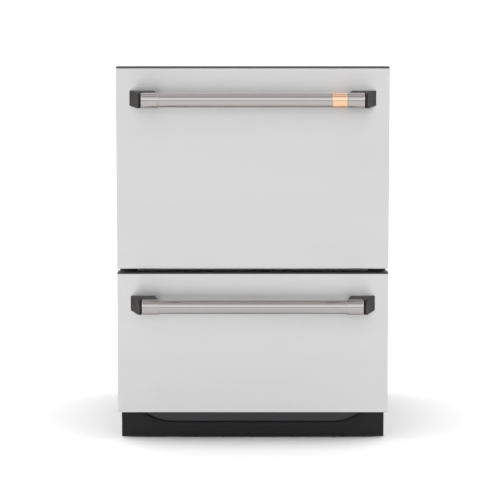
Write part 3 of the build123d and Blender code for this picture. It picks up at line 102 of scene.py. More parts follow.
# %% [markdown]
# ## Surfaces from formulas
#
# A mesh can be modelled by hand, cut from solids, or computed. Sheet-metal and moulded parts have
# simple rules behind them, so computing is exact and quick: a shape is a stack of closed loops,
# and neighbouring loops are joined by quads. NumPy works out all loops at once.

# %% Helpers that turn arrays into meshes
def link(name, vertices, faces, smooth=True):
    """A mesh object from an (n, 3) array and a list of face tuples, standing at the origin."""
    mesh = bpy.data.meshes.new(name)
    mesh.from_pydata(vertices.tolist(), [], faces)
    mesh.polygons.foreach_set("use_smooth", [smooth] * len(mesh.polygons))
    mesh.update()
    piece = bpy.data.objects.new(name, mesh)
    scene.collection.objects.link(piece)
    return piece


def loft_faces(rows, columns, close_rows):
    """Quads between neighbouring loops of a stack, and a flat cap on its first and last loop.

    Loop i, point j is vertex i * columns + j. A quad joins (i, j), (i, j+1), (i+1, j+1) and
    (i+1, j); j runs round and comes back to 0. With close_rows, i does too, and no cap is needed.
    """
    loops = rows if close_rows else rows - 1
    i, j = np.meshgrid(np.arange(loops), np.arange(columns), indexing="ij")
    after_i, after_j = (i + 1) % rows, (j + 1) % columns
    corners_of = [(i, j), (i, after_j), (after_i, after_j), (after_i, j)]
    quads = np.stack([a * columns + b for a, b in corners_of], axis=-1).reshape(-1, 4)
    faces = [tuple(quad) for quad in quads.tolist()]
    if not close_rows:
        first, last = range(columns), range((rows - 1) * columns, rows * columns)
        faces += [tuple(reversed(first)), tuple(last)]
    return faces


# %% [markdown]
# A face shows its outside where its corners run anticlockwise. Rather than think about each
# profile's direction, the volume inside the finished faces is measured: if it comes out negative,
# every face points inwards, and all of them are turned round together.

# %% Faces that point outwards

def outward(vertices, faces):
    """The faces, all turned round if the closed surface they make has a negative volume.

    The volume is the sum over faces of corner0 . (corner1 x corner2) / 6, fanned per face.
    """
    total = 0.0
    quads = np.array([f for f in faces if len(f) == 4])
    fans = [f for f in faces if len(f) != 4]
    if len(quads):
        a, b, c, d = (vertices[quads[:, k]] for k in range(4))
        total += np.einsum("ij,ij->", a, np.cross(b, c)) + np.einsum("ij,ij->", a, np.cross(c, d))
    for face in fans:
        ring = vertices[list(face)]
        apex = np.repeat(ring[:1], len(ring) - 2, 0)
        total += np.einsum("ij,ij->", apex, np.cross(ring[1:-1], ring[2:]))
    return faces if total > 0 else [tuple(reversed(f)) for f in faces]


def joined(name, stacks, close_rows=False):
    """One object from several stacks of loops, each an array of (rows, columns, 3)."""
    vertices, faces, start = [], [], 0
    for loops in stacks:
        rows, columns, _ = loops.shape
        points = loops.reshape(-1, 3)
        local = outward(points, loft_faces(rows, columns, close_rows))
        faces += [tuple(k + start for k in face) for face in local]
        vertices.append(points)
        start += len(points)
    return link(name, np.concatenate(vertices), faces)


def lofted(name, loops, close_rows=False):
    """One object from a single stack of loops."""
    return joined(name, [loops], close_rows)


def sharpen(piece, degrees):
    """Keeps creases crisp: smooth shading only where neighbouring faces turn less than this."""
    bpy.context.view_layer.objects.active = piece
    piece.select_set(True)
    bpy.ops.object.shade_smooth_by_angle(angle=math.radians(degrees))
    piece.select_set(False)
    return piece


# %% [markdown]
# A rounded rectangle is the loop behind most appliance parts. Its points are worked out as the
# four corner arcs, one after the other: corner centre plus radius times (cos t, sin t).

# %% The rounded rectangle
CORNER_STEPS = 8
LEAST_CORNER = 0.3 * MM


def rounded_loop(half_a, half_b, radius, steps=CORNER_STEPS):
    """Points (n, 2) of a rounded rectangle about the origin, anticlockwise.

    Corner k has its centre at (+-(half_a - radius), +-(half_b - radius)), and its arc runs over
    angles k * 90 degrees to (k + 1) * 90 degrees.
    """
    t = np.linspace(0, math.pi / 2, steps)
    angle = np.arange(4)[:, None] * math.pi / 2 + t[None, :]
    sign_a = np.array([1, -1, -1, 1])[:, None]
    sign_b = np.array([1, 1, -1, -1])[:, None]
    a = sign_a * (half_a - radius) + radius * np.cos(angle)
    b = sign_b * (half_b - radius) + radius * np.sin(angle)
    return np.stack([a, b], axis=-1).reshape(-1, 2)


def stack_y(centre, half, profile, corner, steps=CORNER_STEPS):
    """Loops along Y for a part seen from the front: each (inset, y) of the profile is one loop.

    Loop = rounded rectangle of half sizes (half - inset) and corner radius (corner - inset), in
    the XZ plane at that y.
    """
    rows = []
    for inset, y in profile:
        flat = rounded_loop(half[0] - inset, half[1] - inset, max(corner - inset, LEAST_CORNER), steps)
        x, z = centre[0] + flat[:, 0], centre[1] + flat[:, 1]
        rows.append(np.column_stack([x, np.full(len(flat), y), z]))
    return np.array(rows)


def quarter(radius, steps=6):
    """Quarter circle as (inset, depth) pairs: inset falls from radius to 0 as depth grows to it."""
    t = np.linspace(0, math.pi / 2, steps)
    return np.column_stack([radius * (1 - np.sin(t)), radius * (1 - np.cos(t))])


# %% [markdown]
# ## Finishes
#
# A finish is a small network of nodes. All of them read Object coordinates, so the pattern stays
# on the part at its real scale wherever the part moves. Fixed numbers are typed straight into the
# shader's sockets; only what varies over the surface is wired.

# %% Node helpers
def new_material(name):
    """An empty material with its Principled shader and a texture coordinate node."""
    material = bpy.data.materials.new(name)
    material.use_nodes = True
    nodes = material.node_tree.nodes
    shader = nodes["Principled BSDF"]
    coordinates = nodes.new("ShaderNodeTexCoord")
    return material, nodes, material.node_tree.links, shader, coordinates.outputs["Object"]


def noise(nodes, links, vector, stretch, scale, detail):
    """Noise of a size given per axis: the coordinates are scaled before the texture reads them."""
    mapping = nodes.new("ShaderNodeMapping")
    mapping.inputs["Scale"].default_value = stretch
    links.new(vector, mapping.inputs["Vector"])
    texture = nodes.new("ShaderNodeTexNoise")
    texture.inputs["Scale"].default_value = scale
    texture.inputs["Detail"].default_value = detail
    links.new(mapping.outputs["Vector"], texture.inputs["Vector"])
    return texture.outputs["Fac"]


def remap(nodes, links, value, low, high, from_low=0.3, from_high=0.7):
    """A value from one range to another, held at its ends."""
    node = nodes.new("ShaderNodeMapRange")
    sockets = ("From Min", "From Max", "To Min", "To Max")
    for socket, number in zip(sockets, (from_low, from_high, low, high)):
        node.inputs[socket].default_value = number
    links.new(value, node.inputs["Value"])
    return node.outputs["Result"]


def tint(nodes, links, value, dark, light):
    """A colour between two, chosen by a value from 0 to 1."""
    node = nodes.new("ShaderNodeMix")
    node.data_type = "RGBA"
    node.inputs["A"].default_value = (*dark, 1)
    node.inputs["B"].default_value = (*light, 1)
    links.new(value, node.inputs["Factor"])
    return node.outputs["Result"]


def bump(nodes, links, shader, height, distance, strength=1.0):
    """Small relief from a height, without moving the surface."""
    node = nodes.new("ShaderNodeBump")
    node.inputs["Distance"].default_value = distance
    node.inputs["Strength"].default_value = strength
    links.new(height, node.inputs["Height"])
    links.new(node.outputs["Normal"], shader.inputs["Normal"])


def shade(colour, amount):
    """A colour made darker or lighter by a factor."""
    return tuple(min(1.0, channel * amount) for channel in colour)


def vary_colour(nodes, links, shader, pattern, colour, spread):
    """Base colour between two shades of one colour, as a pattern goes from 0 to 1."""
    between = tint(nodes, links, pattern, shade(colour, spread[0]), shade(colour, spread[1]))
    links.new(between, shader.inputs["Base Color"])


def vary_roughness(nodes, links, shader, pattern, rough, spread):
    """Roughness between two multiples of one value, over the middle range of a noise."""
    between = remap(nodes, links, pattern, rough * spread[0], rough * spread[1])
    links.new(between, shader.inputs["Roughness"])


# %% [markdown]
# ### Brushed and polished steel
#
# A stainless front is ground with a belt, which leaves fine scratches along its width. They
# smear reflections upwards and downwards but not sideways, so the shader is anisotropic: its
# tangent runs round the upright axis, and a quarter turn sends the smear across the grain. The
# handles are tubes turned and buffed, so they get a much smoother surface of the same metal, in a
# darker, warmer copy of its colour: painted shade for the dark reflections the handles show.

# %% Steel finishes
SCRATCH_SCALE = 900
STREAK_SCALE = 14
STEEL_TONES = (0.955, 1.03)
STEEL_GLOSS = (0.88, 1.14)
STEEL_RELIEF = 0.02 * MM
QUARTER_TURN = 0.25


def steel_finish(name, colour, rough, grain, smear=0.0):
    """Ground or buffed metal: streaks of noise, long along the grain, vary tone and gloss."""
    material, nodes, links, shader, place = new_material(name)
    shader.inputs["Metallic"].default_value = 1.0
    fine = noise(nodes, links, place, grain, SCRATCH_SCALE, 3)
    broad = noise(nodes, links, place, tuple(g ** 0.5 for g in grain), STREAK_SCALE, 3)
    vary_colour(nodes, links, shader, broad, colour, STEEL_TONES)
    vary_roughness(nodes, links, shader, fine, rough, STEEL_GLOSS)
    bump(nodes, links, shader, fine, STEEL_RELIEF, 0.5)
    if smear:
        shader.inputs["Anisotropic"].default_value = smear
        shader.inputs["Anisotropic Rotation"].default_value = QUARTER_TURN
        tangent = nodes.new("ShaderNodeTangent")
        tangent.direction_type = "RADIAL"
        tangent.axis = "Z"
        links.new(tangent.outputs["Tangent"], shader.inputs["Tangent"])
    return material


front_steel = steel_finish("front_steel", (0.575, 0.572, 0.570), 0.34, (0.02, 1, 1), smear=0.75)
# Painted shade: the bar and sleeve steel are darker, warmer copies of the front's stainless colour.
bar_steel_painted_shade = steel_finish("bar_steel_painted_shade", (0.385, 0.370, 0.362), 0.12, (0.02, 1, 1))
sleeve_steel_painted_shade = steel_finish("sleeve_steel_painted_shade", (0.39, 0.375, 0.365), 0.17, (1, 0.02, 0.02))
band_copper = steel_finish("band_copper", (0.80, 0.50, 0.34), 0.15, (1, 0.02, 0.02))
line_copper = steel_finish("line_copper", (0.80, 0.42, 0.27), 0.25, (1, 1, 1))
fin_aluminium = steel_finish("fin_aluminium", (0.75, 0.76, 0.78), 0.35, (1, 1, 0.1))
print("metal finishes", front_steel.name, bar_steel_painted_shade.name, sleeve_steel_painted_shade.name, band_copper.name)

# %% [markdown]
# ### Zinc, paint and enamel
#
# Hidden sheet is zinc-plated: large dull crystals, the spangle, differ in tone. Voronoi cells are
# the natural pattern for them. The case is powder coated, and powder melts into a fine
# orange-peel relief. The compressor is dipped in gloss enamel.

# %% Sheet and paint finishes
SPANGLE_SCALE = 130
ZINC_TONES = (0.555, 0.565, 0.58), (0.60, 0.61, 0.625)
ZINC_ROUGH = (0.36, 0.43)
ZINC_RELIEF = 0.04 * MM
PATCH_SCALE = 9
PAINT_TONES = (0.88, 1.12)
PAINT_GLOSS = (0.9, 1.12)


def zinc_finish(name):
    """Zinc plate: cells of slightly different grey and gloss, with faint relief between them."""
    material, nodes, links, shader, place = new_material(name)
    shader.inputs["Metallic"].default_value = 1.0
    cells = nodes.new("ShaderNodeTexVoronoi")
    cells.inputs["Scale"].default_value = SPANGLE_SCALE
    links.new(place, cells.inputs["Vector"])
    bright = nodes.new("ShaderNodeSeparateColor")
    links.new(cells.outputs["Color"], bright.inputs["Color"])
    tone = tint(nodes, links, bright.outputs["Red"], *ZINC_TONES)
    links.new(tone, shader.inputs["Base Color"])
    gloss = remap(nodes, links, bright.outputs["Green"], *ZINC_ROUGH, 0, 1)
    links.new(gloss, shader.inputs["Roughness"])
    bump(nodes, links, shader, cells.outputs["Distance"], ZINC_RELIEF, 0.4)
    return material


def painted_finish(name, colour, rough, grain_size, relief):
    """Powder coat or enamel: fine noise raises an orange-peel skin and softens the gloss."""
    material, nodes, links, shader, place = new_material(name)
    peel = noise(nodes, links, place, (1, 1, 1), 1 / grain_size, 2)
    patches = noise(nodes, links, place, (1, 1, 1), PATCH_SCALE, 4)
    vary_colour(nodes, links, shader, patches, colour, PAINT_TONES)
    vary_roughness(nodes, links, shader, patches, rough, PAINT_GLOSS)
    bump(nodes, links, shader, peel, relief, 0.6)
    return material


zinc = zinc_finish("zinc")
case_paint = painted_finish("case_paint", (0.038, 0.038, 0.040), 0.42, 0.0012, 0.00006)
enamel = painted_finish("enamel", (0.012, 0.012, 0.013), 0.18, 0.006, 0.00004)
motor_grey = painted_finish("motor_grey", (0.22, 0.225, 0.235), 0.5, 0.0015, 0.00005)
print("sheet and paint finishes", zinc.name, case_paint.name, enamel.name, motor_grey.name)

# %% [markdown]
# ### Plastics, rubber and foam
#
# A moulded part carries the texture of its steel mould: a fine grain on the toe plate and the
# handle arms, almost none on the white liner. A clear bin is the same idea with light let through
# it. Rigid foam shows the cells it rose with.

# %% Plastic and foam finishes
DRIFT_SCALE = 6
PLASTIC_TONES = (0.94, 1.05)
PLASTIC_GLOSS = (0.92, 1.1)
HAZE_SCALE = 120
HAZE_ROUGH = (0.05, 0.12)
FOAM_CELL_SCALE = 260
# Painted shade in the foam's cell hollows: from the full colour down to 0.7 of it.
FOAM_HOLLOW_SHADE = (1, 0.7)
FOAM_RELIEF = 0.6 * MM


def moulded_finish(name, colour, rough, grain_size, relief, coat=0.0):
    """Moulded plastic: fine grain for relief, slow patches for the drift of tone and gloss."""
    material, nodes, links, shader, place = new_material(name)
    grain = noise(nodes, links, place, (1, 1, 1), 1 / grain_size, 3)
    drift = noise(nodes, links, place, (1, 1, 1), DRIFT_SCALE, 3)
    vary_colour(nodes, links, shader, drift, colour, PLASTIC_TONES)
    vary_roughness(nodes, links, shader, grain, rough, PLASTIC_GLOSS)
    shader.inputs["Coat Weight"].default_value = coat
    shader.inputs["IOR"].default_value = 1.5
    bump(nodes, links, shader, grain, relief, 0.7)
    return material


def clear_finish(name, colour, through):
    """Clear moulded plastic: mostly see-through, with its own faint blue-grey and a firm gloss."""
    material, nodes, links, shader, place = new_material(name)
    shader.inputs["Base Color"].default_value = (*colour, 1)
    shader.inputs["Alpha"].default_value = 1 - through
    shader.inputs["IOR"].default_value = 1.49
    haze = noise(nodes, links, place, (1, 1, 1), HAZE_SCALE, 3)
    links.new(remap(nodes, links, haze, *HAZE_ROUGH), shader.inputs["Roughness"])
    return material


def foam_finish(name, colour):
    """Rigid foam: small cells, with painted shade darkening their hollows."""
    material, nodes, links, shader, place = new_material(name)
    cells = nodes.new("ShaderNodeTexVoronoi")
    cells.inputs["Scale"].default_value = FOAM_CELL_SCALE
    links.new(place, cells.inputs["Vector"])
    cell_shade = remap(nodes, links, cells.outputs["Distance"], 0, 1, 0, 0.8)
    # Painted shade: the colour darkens towards each cell's hollow.
    vary_colour(nodes, links, shader, cell_shade, colour, FOAM_HOLLOW_SHADE)
    shader.inputs["Roughness"].default_value = 0.9
    bump(nodes, links, shader, cells.outputs["Distance"], FOAM_RELIEF)
    return material


arm_plastic = moulded_finish("arm_plastic", (0.014, 0.012, 0.0115), 0.46, 0.0009, 0.00005)
cap_plastic = moulded_finish("cap_plastic", (0.030, 0.030, 0.031), 0.45, 0.0009, 0.00005)
kick_plastic = moulded_finish("kick_plastic", (0.006, 0.006, 0.0065), 0.36, 0.0011, 0.00006)
SPECULAR_LEVELS = ((kick_plastic, 0.24), (arm_plastic, 0.13), (cap_plastic, 0.30))
for dull, level in SPECULAR_LEVELS:
    dull.node_tree.nodes["Principled BSDF"].inputs["Specular IOR Level"].default_value = level
print("dark plastics", [dull.name for dull, level in SPECULAR_LEVELS])

# %% [markdown]
# The toe plate's pocket gets a painted reflection: a paler base colour that stands for the brighter
# light the pocket reflects. A second material would need a border in the mesh; mixing the painted
# reflection in by depth follows the pocket's own soft edge instead.

# %% The pocket's painted reflection, and the other plastics
# Painted reflection: the paler colour mixed into the toe plate's pocket, and the depths it fades in over.
POCKET_REFLECTION_TONE = (0.046, 0.046, 0.049)
POCKET_REFLECTION_DEPTHS = (2.5 * MM, 4.5 * MM)


def paint_recess_reflection(material, y0, y1, reflection_tone):
    """Mixes a paler tone in as Object Y goes from y0 to y1: a painted reflection for the pocket.
    What makes it paler is a guess.
    """
    nodes, links = material.node_tree.nodes, material.node_tree.links
    shader = nodes["Principled BSDF"]
    place = nodes.new("ShaderNodeTexCoord")
    # deep is the painted reflection's mask: 0 on the plate's face, 1 inside the pocket.
    split = nodes.new("ShaderNodeSeparateXYZ")
    deep = nodes.new("ShaderNodeMapRange")
    reflection_mix = nodes.new("ShaderNodeMix")
    reflection_mix.data_type = "RGBA"
    deep.inputs["From Min"].default_value = y0
    deep.inputs["From Max"].default_value = y1
    base = shader.inputs["Base Color"].links[0].from_socket
    links.new(place.outputs["Object"], split.inputs["Vector"])
    links.new(split.outputs["Y"], deep.inputs["Value"])
    links.new(deep.outputs["Result"], reflection_mix.inputs["Factor"])
    links.new(base, reflection_mix.inputs[6])
    reflection_mix.inputs[7].default_value = (*reflection_tone, 1)
    links.new(reflection_mix.outputs[2], shader.inputs["Base Color"])


KICK = corners("kick_plate")
# Painted reflection: the pocket is given a paler base colour than the plate's face.
paint_recess_reflection(kick_plastic, *(KICK[0][1] + depth for depth in POCKET_REFLECTION_DEPTHS), POCKET_REFLECTION_TONE)
fan_plastic = moulded_finish("fan_plastic", (0.022, 0.022, 0.024), 0.5, 0.001, 0.00004)
tray_plastic = moulded_finish("tray_plastic", (0.05, 0.05, 0.052), 0.55, 0.001, 0.00004)
liner_plastic = moulded_finish("liner_plastic", (0.70, 0.71, 0.71), 0.34, 0.004, 0.00002, coat=0.2)
button_plastic = moulded_finish("button_plastic", (0.30, 0.31, 0.32), 0.4, 0.0008, 0.00003)
diffuser = moulded_finish("diffuser", (0.90, 0.90, 0.87), 0.55, 0.0012, 0.00003)
display = moulded_finish("display", (0.010, 0.012, 0.016), 0.08, 0.003, 0.000005, coat=0.6)
seal_rubber = moulded_finish("seal_rubber", (0.15, 0.15, 0.155), 0.62, 0.0008, 0.00005)
mount_rubber = moulded_finish("mount_rubber", (0.025, 0.025, 0.025), 0.75, 0.0009, 0.00006)
icon_white = moulded_finish("icon_white", (0.85, 0.86, 0.86), 0.5, 0.001, 0.00001)
bin_clear = clear_finish("bin_clear", (0.78, 0.85, 0.88), 0.72)
foam = foam_finish("foam", (0.85, 0.76, 0.50))
print("materials so far", len(bpy.data.materials))

# %% [markdown]
# The nodes that the frame already shapes well only need their finish. One table says which.

# %% Finishes for the parts of the frame
FINISHES = {
    zinc: "bottom_deck back_panel base_pan case_screws fan_shroud counter_brackets upper_cabinet_rails "
    "lower_cabinet_rails upper_middle_rails lower_middle_rails upper_drawer_frame lower_drawer_frame",
    case_paint: "case_wrapper machine_cover",
    enamel: "compressor",
    motor_grey: "condenser_fan_motor evaporator_fan_motor",
    foam: "foam_insulation upper_front_core lower_front_core",
    liner_plastic: "inner_liner center_mullion evaporator_cover control_housing upper_front_tray "
    "lower_front_tray",
    cap_plastic: "upper_top_cap lower_top_cap",
    arm_plastic: "upper_handle_arms lower_handle_arms",
    kick_plastic: "kick_plate",
    fan_plastic: "power_inlet condenser_fan_rotor evaporator_fan_rotor leg_front_left leg_front_right "
    "leg_rear_left leg_rear_right",
    tray_plastic: "drip_tray",
    line_copper: "refrigerant_lines",
    fin_aluminium: "condenser evaporator",
    seal_rubber: "upper_gasket lower_gasket",
    mount_rubber: "compressor_grommets",
    diffuser: "light_bars",
    display: "display_lens",
    button_plastic: "power_button warmer_button cooler_button",
    bin_clear: "upper_bin lower_bin upper_bin_divider",
    front_steel: "upper_front_skin lower_front_skin",
    bar_steel_painted_shade: "upper_handle_bar lower_handle_bar",
    sleeve_steel_painted_shade: "upper_handle_sleeves lower_handle_sleeves",
    band_copper: "upper_handle_band",
}
for finish, names in FINISHES.items():
    for node in names.split():
        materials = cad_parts[node].data.materials
        if len(materials) == 0:
            materials.append(finish)
        for index in range(len(materials)):
            materials[index] = finish
print("finished nodes", sum(len(names.split()) for names in FINISHES.values()))

# %% [markdown]
# Every new piece needs the same three facts: its finish, the body it rides on, and the plainer
# nodes it stands for. One helper states them all.

# %% Dress a piece and hang it on its body
def stand_for(piece, finish, body, slot, *nodes):
    """Gives a piece its finish and its body, and hides the nodes it replaces. The slot is not used."""
    piece.data.materials.append(finish)
    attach(piece, body)
    if nodes:
        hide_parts(*nodes)
    print(piece.name, "rides on", body, "with", len(piece.data.polygons), "faces")
    return piece


# %% [markdown]
# ## The stainless fronts
#
# Each front is a shallow pan pressed from one millimetre sheet: a flat face, an edge rolled to a
# small radius, a fold back along the side, and the same again on the inside. A bevelled box would
# look close, but the pan is a stack of loops from the middle of its face to the middle of its
# inside, so the true sheet thickness shows at the seam when a drawer stands open.

# %% Make the fronts
SHEET = 1 * MM
SKIN_EDGE = 2.2 * MM
SKIN_CORNER = 2.6 * MM
SKIN_CREASE = 50


def make_skin(drawer):
    """Pan = loops (inset, y): face rim, quarter-circle edge, fold, return inside, inner face."""
    low, high = SKINS[drawer]
    centre = ((low[0] + high[0]) / 2, (low[2] + high[2]) / 2)
    half = ((high[0] - low[0]) / 2, (high[2] - low[2]) / 2)
    outer = quarter(SKIN_EDGE)
    inner = quarter(SKIN_EDGE - SHEET)[::-1]
    profile = [(inset, low[1] + depth) for inset, depth in outer]
    profile += [(0, high[1]), (SHEET, high[1])]
    profile += [(SHEET + inset, low[1] + SHEET + depth) for inset, depth in inner]
    loops = stack_y(centre, half, profile, SKIN_CORNER)
    pan = sharpen(lofted(f"{drawer}_front_skin_sheet", loops), SKIN_CREASE)
    return stand_for(pan, front_steel, f"{drawer}_drawer", "front_steel", f"{drawer}_front_skin")


for drawer in DRAWERS:
    make_skin(drawer)

# %% [markdown]
# ## The handles
#
# A handle is a round tube between two dark arms, with a polished sleeve over each end. Round parts
# are surfaces of revolution: a profile of (place along the axis, radius) is turned once round.
# The profile goes out along the outside and comes back along the bore, so each tube has a wall.

# %% Turned parts
TURN_STEPS = 64


def turned_x(profile, axis_y, axis_z):
    """Stack of circles about an axis along X: point = (x, y0 + r cos t, z0 + r sin t)."""
    t = np.arange(TURN_STEPS) / TURN_STEPS * 2 * math.pi
    rows = [
        np.column_stack([np.full(TURN_STEPS, x), axis_y + r * np.cos(t), axis_z + r * np.sin(t)])
        for x, r in profile
    ]
    return np.array(rows)


def tube_profile(x0, x1, outer, inner, edge, steps=5):
    """Closed wall profile of a tube with rounded outer edges: along the outside, back inside."""
    t = np.linspace(0, math.pi / 2, steps)
    rise = [(x0 + edge * (1 - math.cos(a)), outer - edge * (1 - math.sin(a))) for a in t]
    fall = [(x1 - edge * (1 - math.cos(a)), outer - edge * (1 - math.sin(a))) for a in t[::-1]]
    return [(x0, inner)] + rise + fall + [(x1, inner)]


# %% [markdown]
# A sleeve closes over the end of its bar with a small dome. Its wall profile is the tube's again,
# except that near the end the radius falls along a quarter of an ellipse.

# %% Make the bars and sleeves
BAR_WALL = 2 * MM
BAR_EDGE = 0.3 * MM
SLEEVE_EDGE = 0.7 * MM
DOME_LENGTH = 5 * MM
DOME_DROP = 3.5 * MM
DOME_WALL = 0.4 * MM
SLIDE_PLAY = 0.02 * MM
BAND_GAP = 1 * MM
BAND = corners("upper_handle_band")
SLEEVE_INNER = BAND[1][0] + BAND_GAP


def sleeve_profile(x0, x1, outer, inner, steps=7):
    """Sleeve wall that domes over the bar's end at x1.

    Near the end x = start + length * sin a, while the radius falls by drop * (1 - cos a).
    """
    out = math.copysign(1, x1 - x0)
    t = np.linspace(0, math.pi / 2, steps)
    start = x1 - out * DOME_LENGTH
    dome = [(start + out * DOME_LENGTH * math.sin(a), DOME_DROP * (1 - math.cos(a))) for a in t]
    open_end = [(x0, inner), (x0, outer - SLEEVE_EDGE), (x0 + out * SLEEVE_EDGE, outer)]
    outside = [(x, outer - drop) for x, drop in dome]
    inside = [(x - out * DOME_WALL, inner - drop) for x, drop in dome[::-1]]
    return open_end + outside + inside


def make_turned(name, profiles, steel, body, slot, node):
    """One object of several tubes on one axis, given their wall profiles."""
    low, high = corners(node)
    axis_y, axis_z = (low[1] + high[1]) / 2, (low[2] + high[2]) / 2
    stacks = [turned_x(profile, axis_y, axis_z) for profile in profiles]
    piece = sharpen(joined(name, stacks, close_rows=True), 40)
    return stand_for(piece, steel, body, slot, node)


def make_handle(drawer):
    """The bar, which ends inside the sleeves, and the two sleeves."""
    body = f"{drawer}_drawer"
    bar_low, bar_high = corners(f"{drawer}_handle_bar")
    bar_radius = (bar_high[2] - bar_low[2]) / 2
    ends = bar_low[0] + DOME_LENGTH, bar_high[0] - DOME_LENGTH
    bar = [tube_profile(*ends, bar_radius, bar_radius - BAR_WALL, BAR_EDGE)]
    make_turned(f"{drawer}_bar_tube", bar, bar_steel_painted_shade, body, "handle_steel", f"{drawer}_handle_bar")

    low, high = corners(f"{drawer}_handle_sleeves")
    radii = (high[2] - low[2]) / 2, bar_radius + SLIDE_PLAY
    pair = [sleeve_profile(side * SLEEVE_INNER, side * high[0], *radii) for side in (-1, 1)]
    name = f"{drawer}_sleeve_pair"
    make_turned(name, pair, sleeve_steel_painted_shade, body, "handle_steel", f"{drawer}_handle_sleeves")


for drawer in DRAWERS:
    make_handle(drawer)

# %% [markdown]
# The copper band is a collar slid over the bar. Its edges are broken by a small radius, and two
# fine grooves are turned near its ends. Any marks on a real collar are left out.

# %% Make the band
GROOVE_DEPTH = 0.25 * MM
GROOVE_WIDTH = 0.7 * MM
GROOVE_INSET = 2.4 * MM


def make_band():
    """Collar profile: rounded ends, and a V groove near each end."""
    (x0, y0, z0), (x1, y1, z1) = BAND
    outer = (z1 - z0) / 2
    bar_low, bar_high = corners("upper_handle_bar")
    bore = (bar_high[2] - bar_low[2]) / 2 + SLIDE_PLAY
    profile = tube_profile(x0, x1, outer, bore, SLEEVE_EDGE)
    middle = len(profile) // 2
    grooves = []
    for place in (x0 + GROOVE_INSET, x1 - GROOVE_INSET):
        rims = place - GROOVE_WIDTH / 2, place + GROOVE_WIDTH / 2
        grooves += [(rims[0], outer), (place, outer - GROOVE_DEPTH), (rims[1], outer)]
    profile = profile[:middle] + grooves + profile[middle:]
    loops = turned_x(profile, (y0 + y1) / 2, (z0 + z1) / 2)
    piece = sharpen(lofted("copper_band_collar", loops, close_rows=True), 30)
    return stand_for(piece, band_copper, "upper_drawer", "band_copper", "upper_handle_band")


make_band()

# %% [markdown]
# The arms are moulded in dark plastic. Seen from the side an arm is a bar with one round end, as
# high as the sleeve is wide. Seen from above its faces lean, so it is broad at the front and
# narrow at the bar. One loop of the side view is therefore slid from the inner leaning face to
# the outer one: point = inner(y) + v * (outer(y) - inner(y)), and loops near both faces shrink by
# a quarter circle to round the edges.

# %% Make the arms
ARM_EDGE = 2.2 * MM
BLOCK_STEP = 0.25 * MM
ARM_STOP = 10 * MM
ARM_INNER_BASE = 217 * MM
ARM_INNER_SLOPE = -8 / 54
BLOCK_OVERLAP = 2 * MM
CHEEK_WALL = 3.5 * MM
ROUND_STEPS = 20
RIM_STEPS = 6


def side_view(front_y, stop_y, z, half, inset, round_end):
    """Loop in the YZ plane: straight top and bottom from the skin, then a half circle or a flat end."""
    r = half - inset
    if round_end:
        t = np.linspace(math.pi / 2, -math.pi / 2, ROUND_STEPS)
        tip = np.column_stack([stop_y - r * np.cos(t), z + r * np.sin(t)])
    else:
        t = np.linspace(1, -1, ROUND_STEPS)
        tip = np.column_stack([np.full(ROUND_STEPS, stop_y), z + r * t])
    base = np.array([(front_y, z - r), (front_y, z + r)])
    return np.concatenate([tip, base])


def rim_steps(edge, at_end):
    """Steps (along, inset, at_end) of the quarter circle that rounds a face's rim, or one flat step."""
    if not edge:
        return [(0, 0, at_end)]
    t = np.linspace(0, math.pi / 2, RIM_STEPS)
    steps = [(edge * (1 - math.cos(a)), edge * (1 - math.sin(a)), at_end) for a in t]
    return steps[::-1] if at_end else steps


def arm_stack(front_y, stop_y, z, half, inner_line, outer_line, round_end, edges, side):
    """Loops from the inner face to the outer face; edges says how far each face's rim is rounded.

    Each line is (x at the front, change of x per length towards the bar).
    """
    rows = []
    for along, inset, at_end in rim_steps(edges[0], False) + rim_steps(edges[1], True):
        loop = side_view(front_y, stop_y, z, half, inset, round_end)
        inner = inner_line[0] + inner_line[1] * (front_y - loop[:, 0])
        outer = outer_line[0] + outer_line[1] * (front_y - loop[:, 0])
        x = outer - along if at_end else inner + along
        rows.append(np.column_stack([side * x, loop[:, 0], loop[:, 1]]))
    return np.array(rows)


def make_arms(drawer):
    """Two arms: a block behind the sleeve, and a cheek plate that closes the end of the bar."""
    low, high = corners(f"{drawer}_handle_arms")
    bar_low, bar_high = corners(f"{drawer}_handle_bar")
    axis_y, z = (bar_low[1] + bar_high[1]) / 2, (low[2] + high[2]) / 2
    half = (high[2] - low[2]) / 2
    reach = FACE_Y - low[1]
    cheek_x = bar_high[0]
    outer_slope = (cheek_x + CHEEK_WALL - high[0]) / reach
    outer_line = (high[0], outer_slope)
    inner_line = (ARM_INNER_BASE, ARM_INNER_SLOPE)
    stacks = []
    for side in (-1, 1):
        block = arm_stack(FACE_Y, axis_y + ARM_STOP, z, half - BLOCK_STEP, inner_line,
                          (cheek_x + BLOCK_OVERLAP, 0), False, (ARM_EDGE, 0), side)
        cheek = arm_stack(FACE_Y, axis_y, z, half, (cheek_x, 0), outer_line, True, (0, ARM_EDGE), side)
        stacks += [block, cheek]
    piece = sharpen(joined(f"{drawer}_arm_pair", stacks), 40)
    return stand_for(piece, arm_plastic, f"{drawer}_drawer", "arm_plastic", f"{drawer}_handle_arms")


for drawer in DRAWERS:
    make_arms(drawer)

# %% [markdown]
# ## The toe plate
#
# The toe plate is one black moulding with a shallow pocket along its top. The pocket's lower edge
# is a long straight line that curls up at both ends. Cutting it with booleans gives knife edges; a
# moulded edge is soft. So the plate is a height field: a grid of points over its face, pushed back
# by a smooth step of the distance to the pocket's edge.

# %% The pocket's edge, and a grid with a wall
POCKET_FLAT = 178 * MM
POCKET_SPAN = 263 * MM
POCKET_RISE = 34 * MM


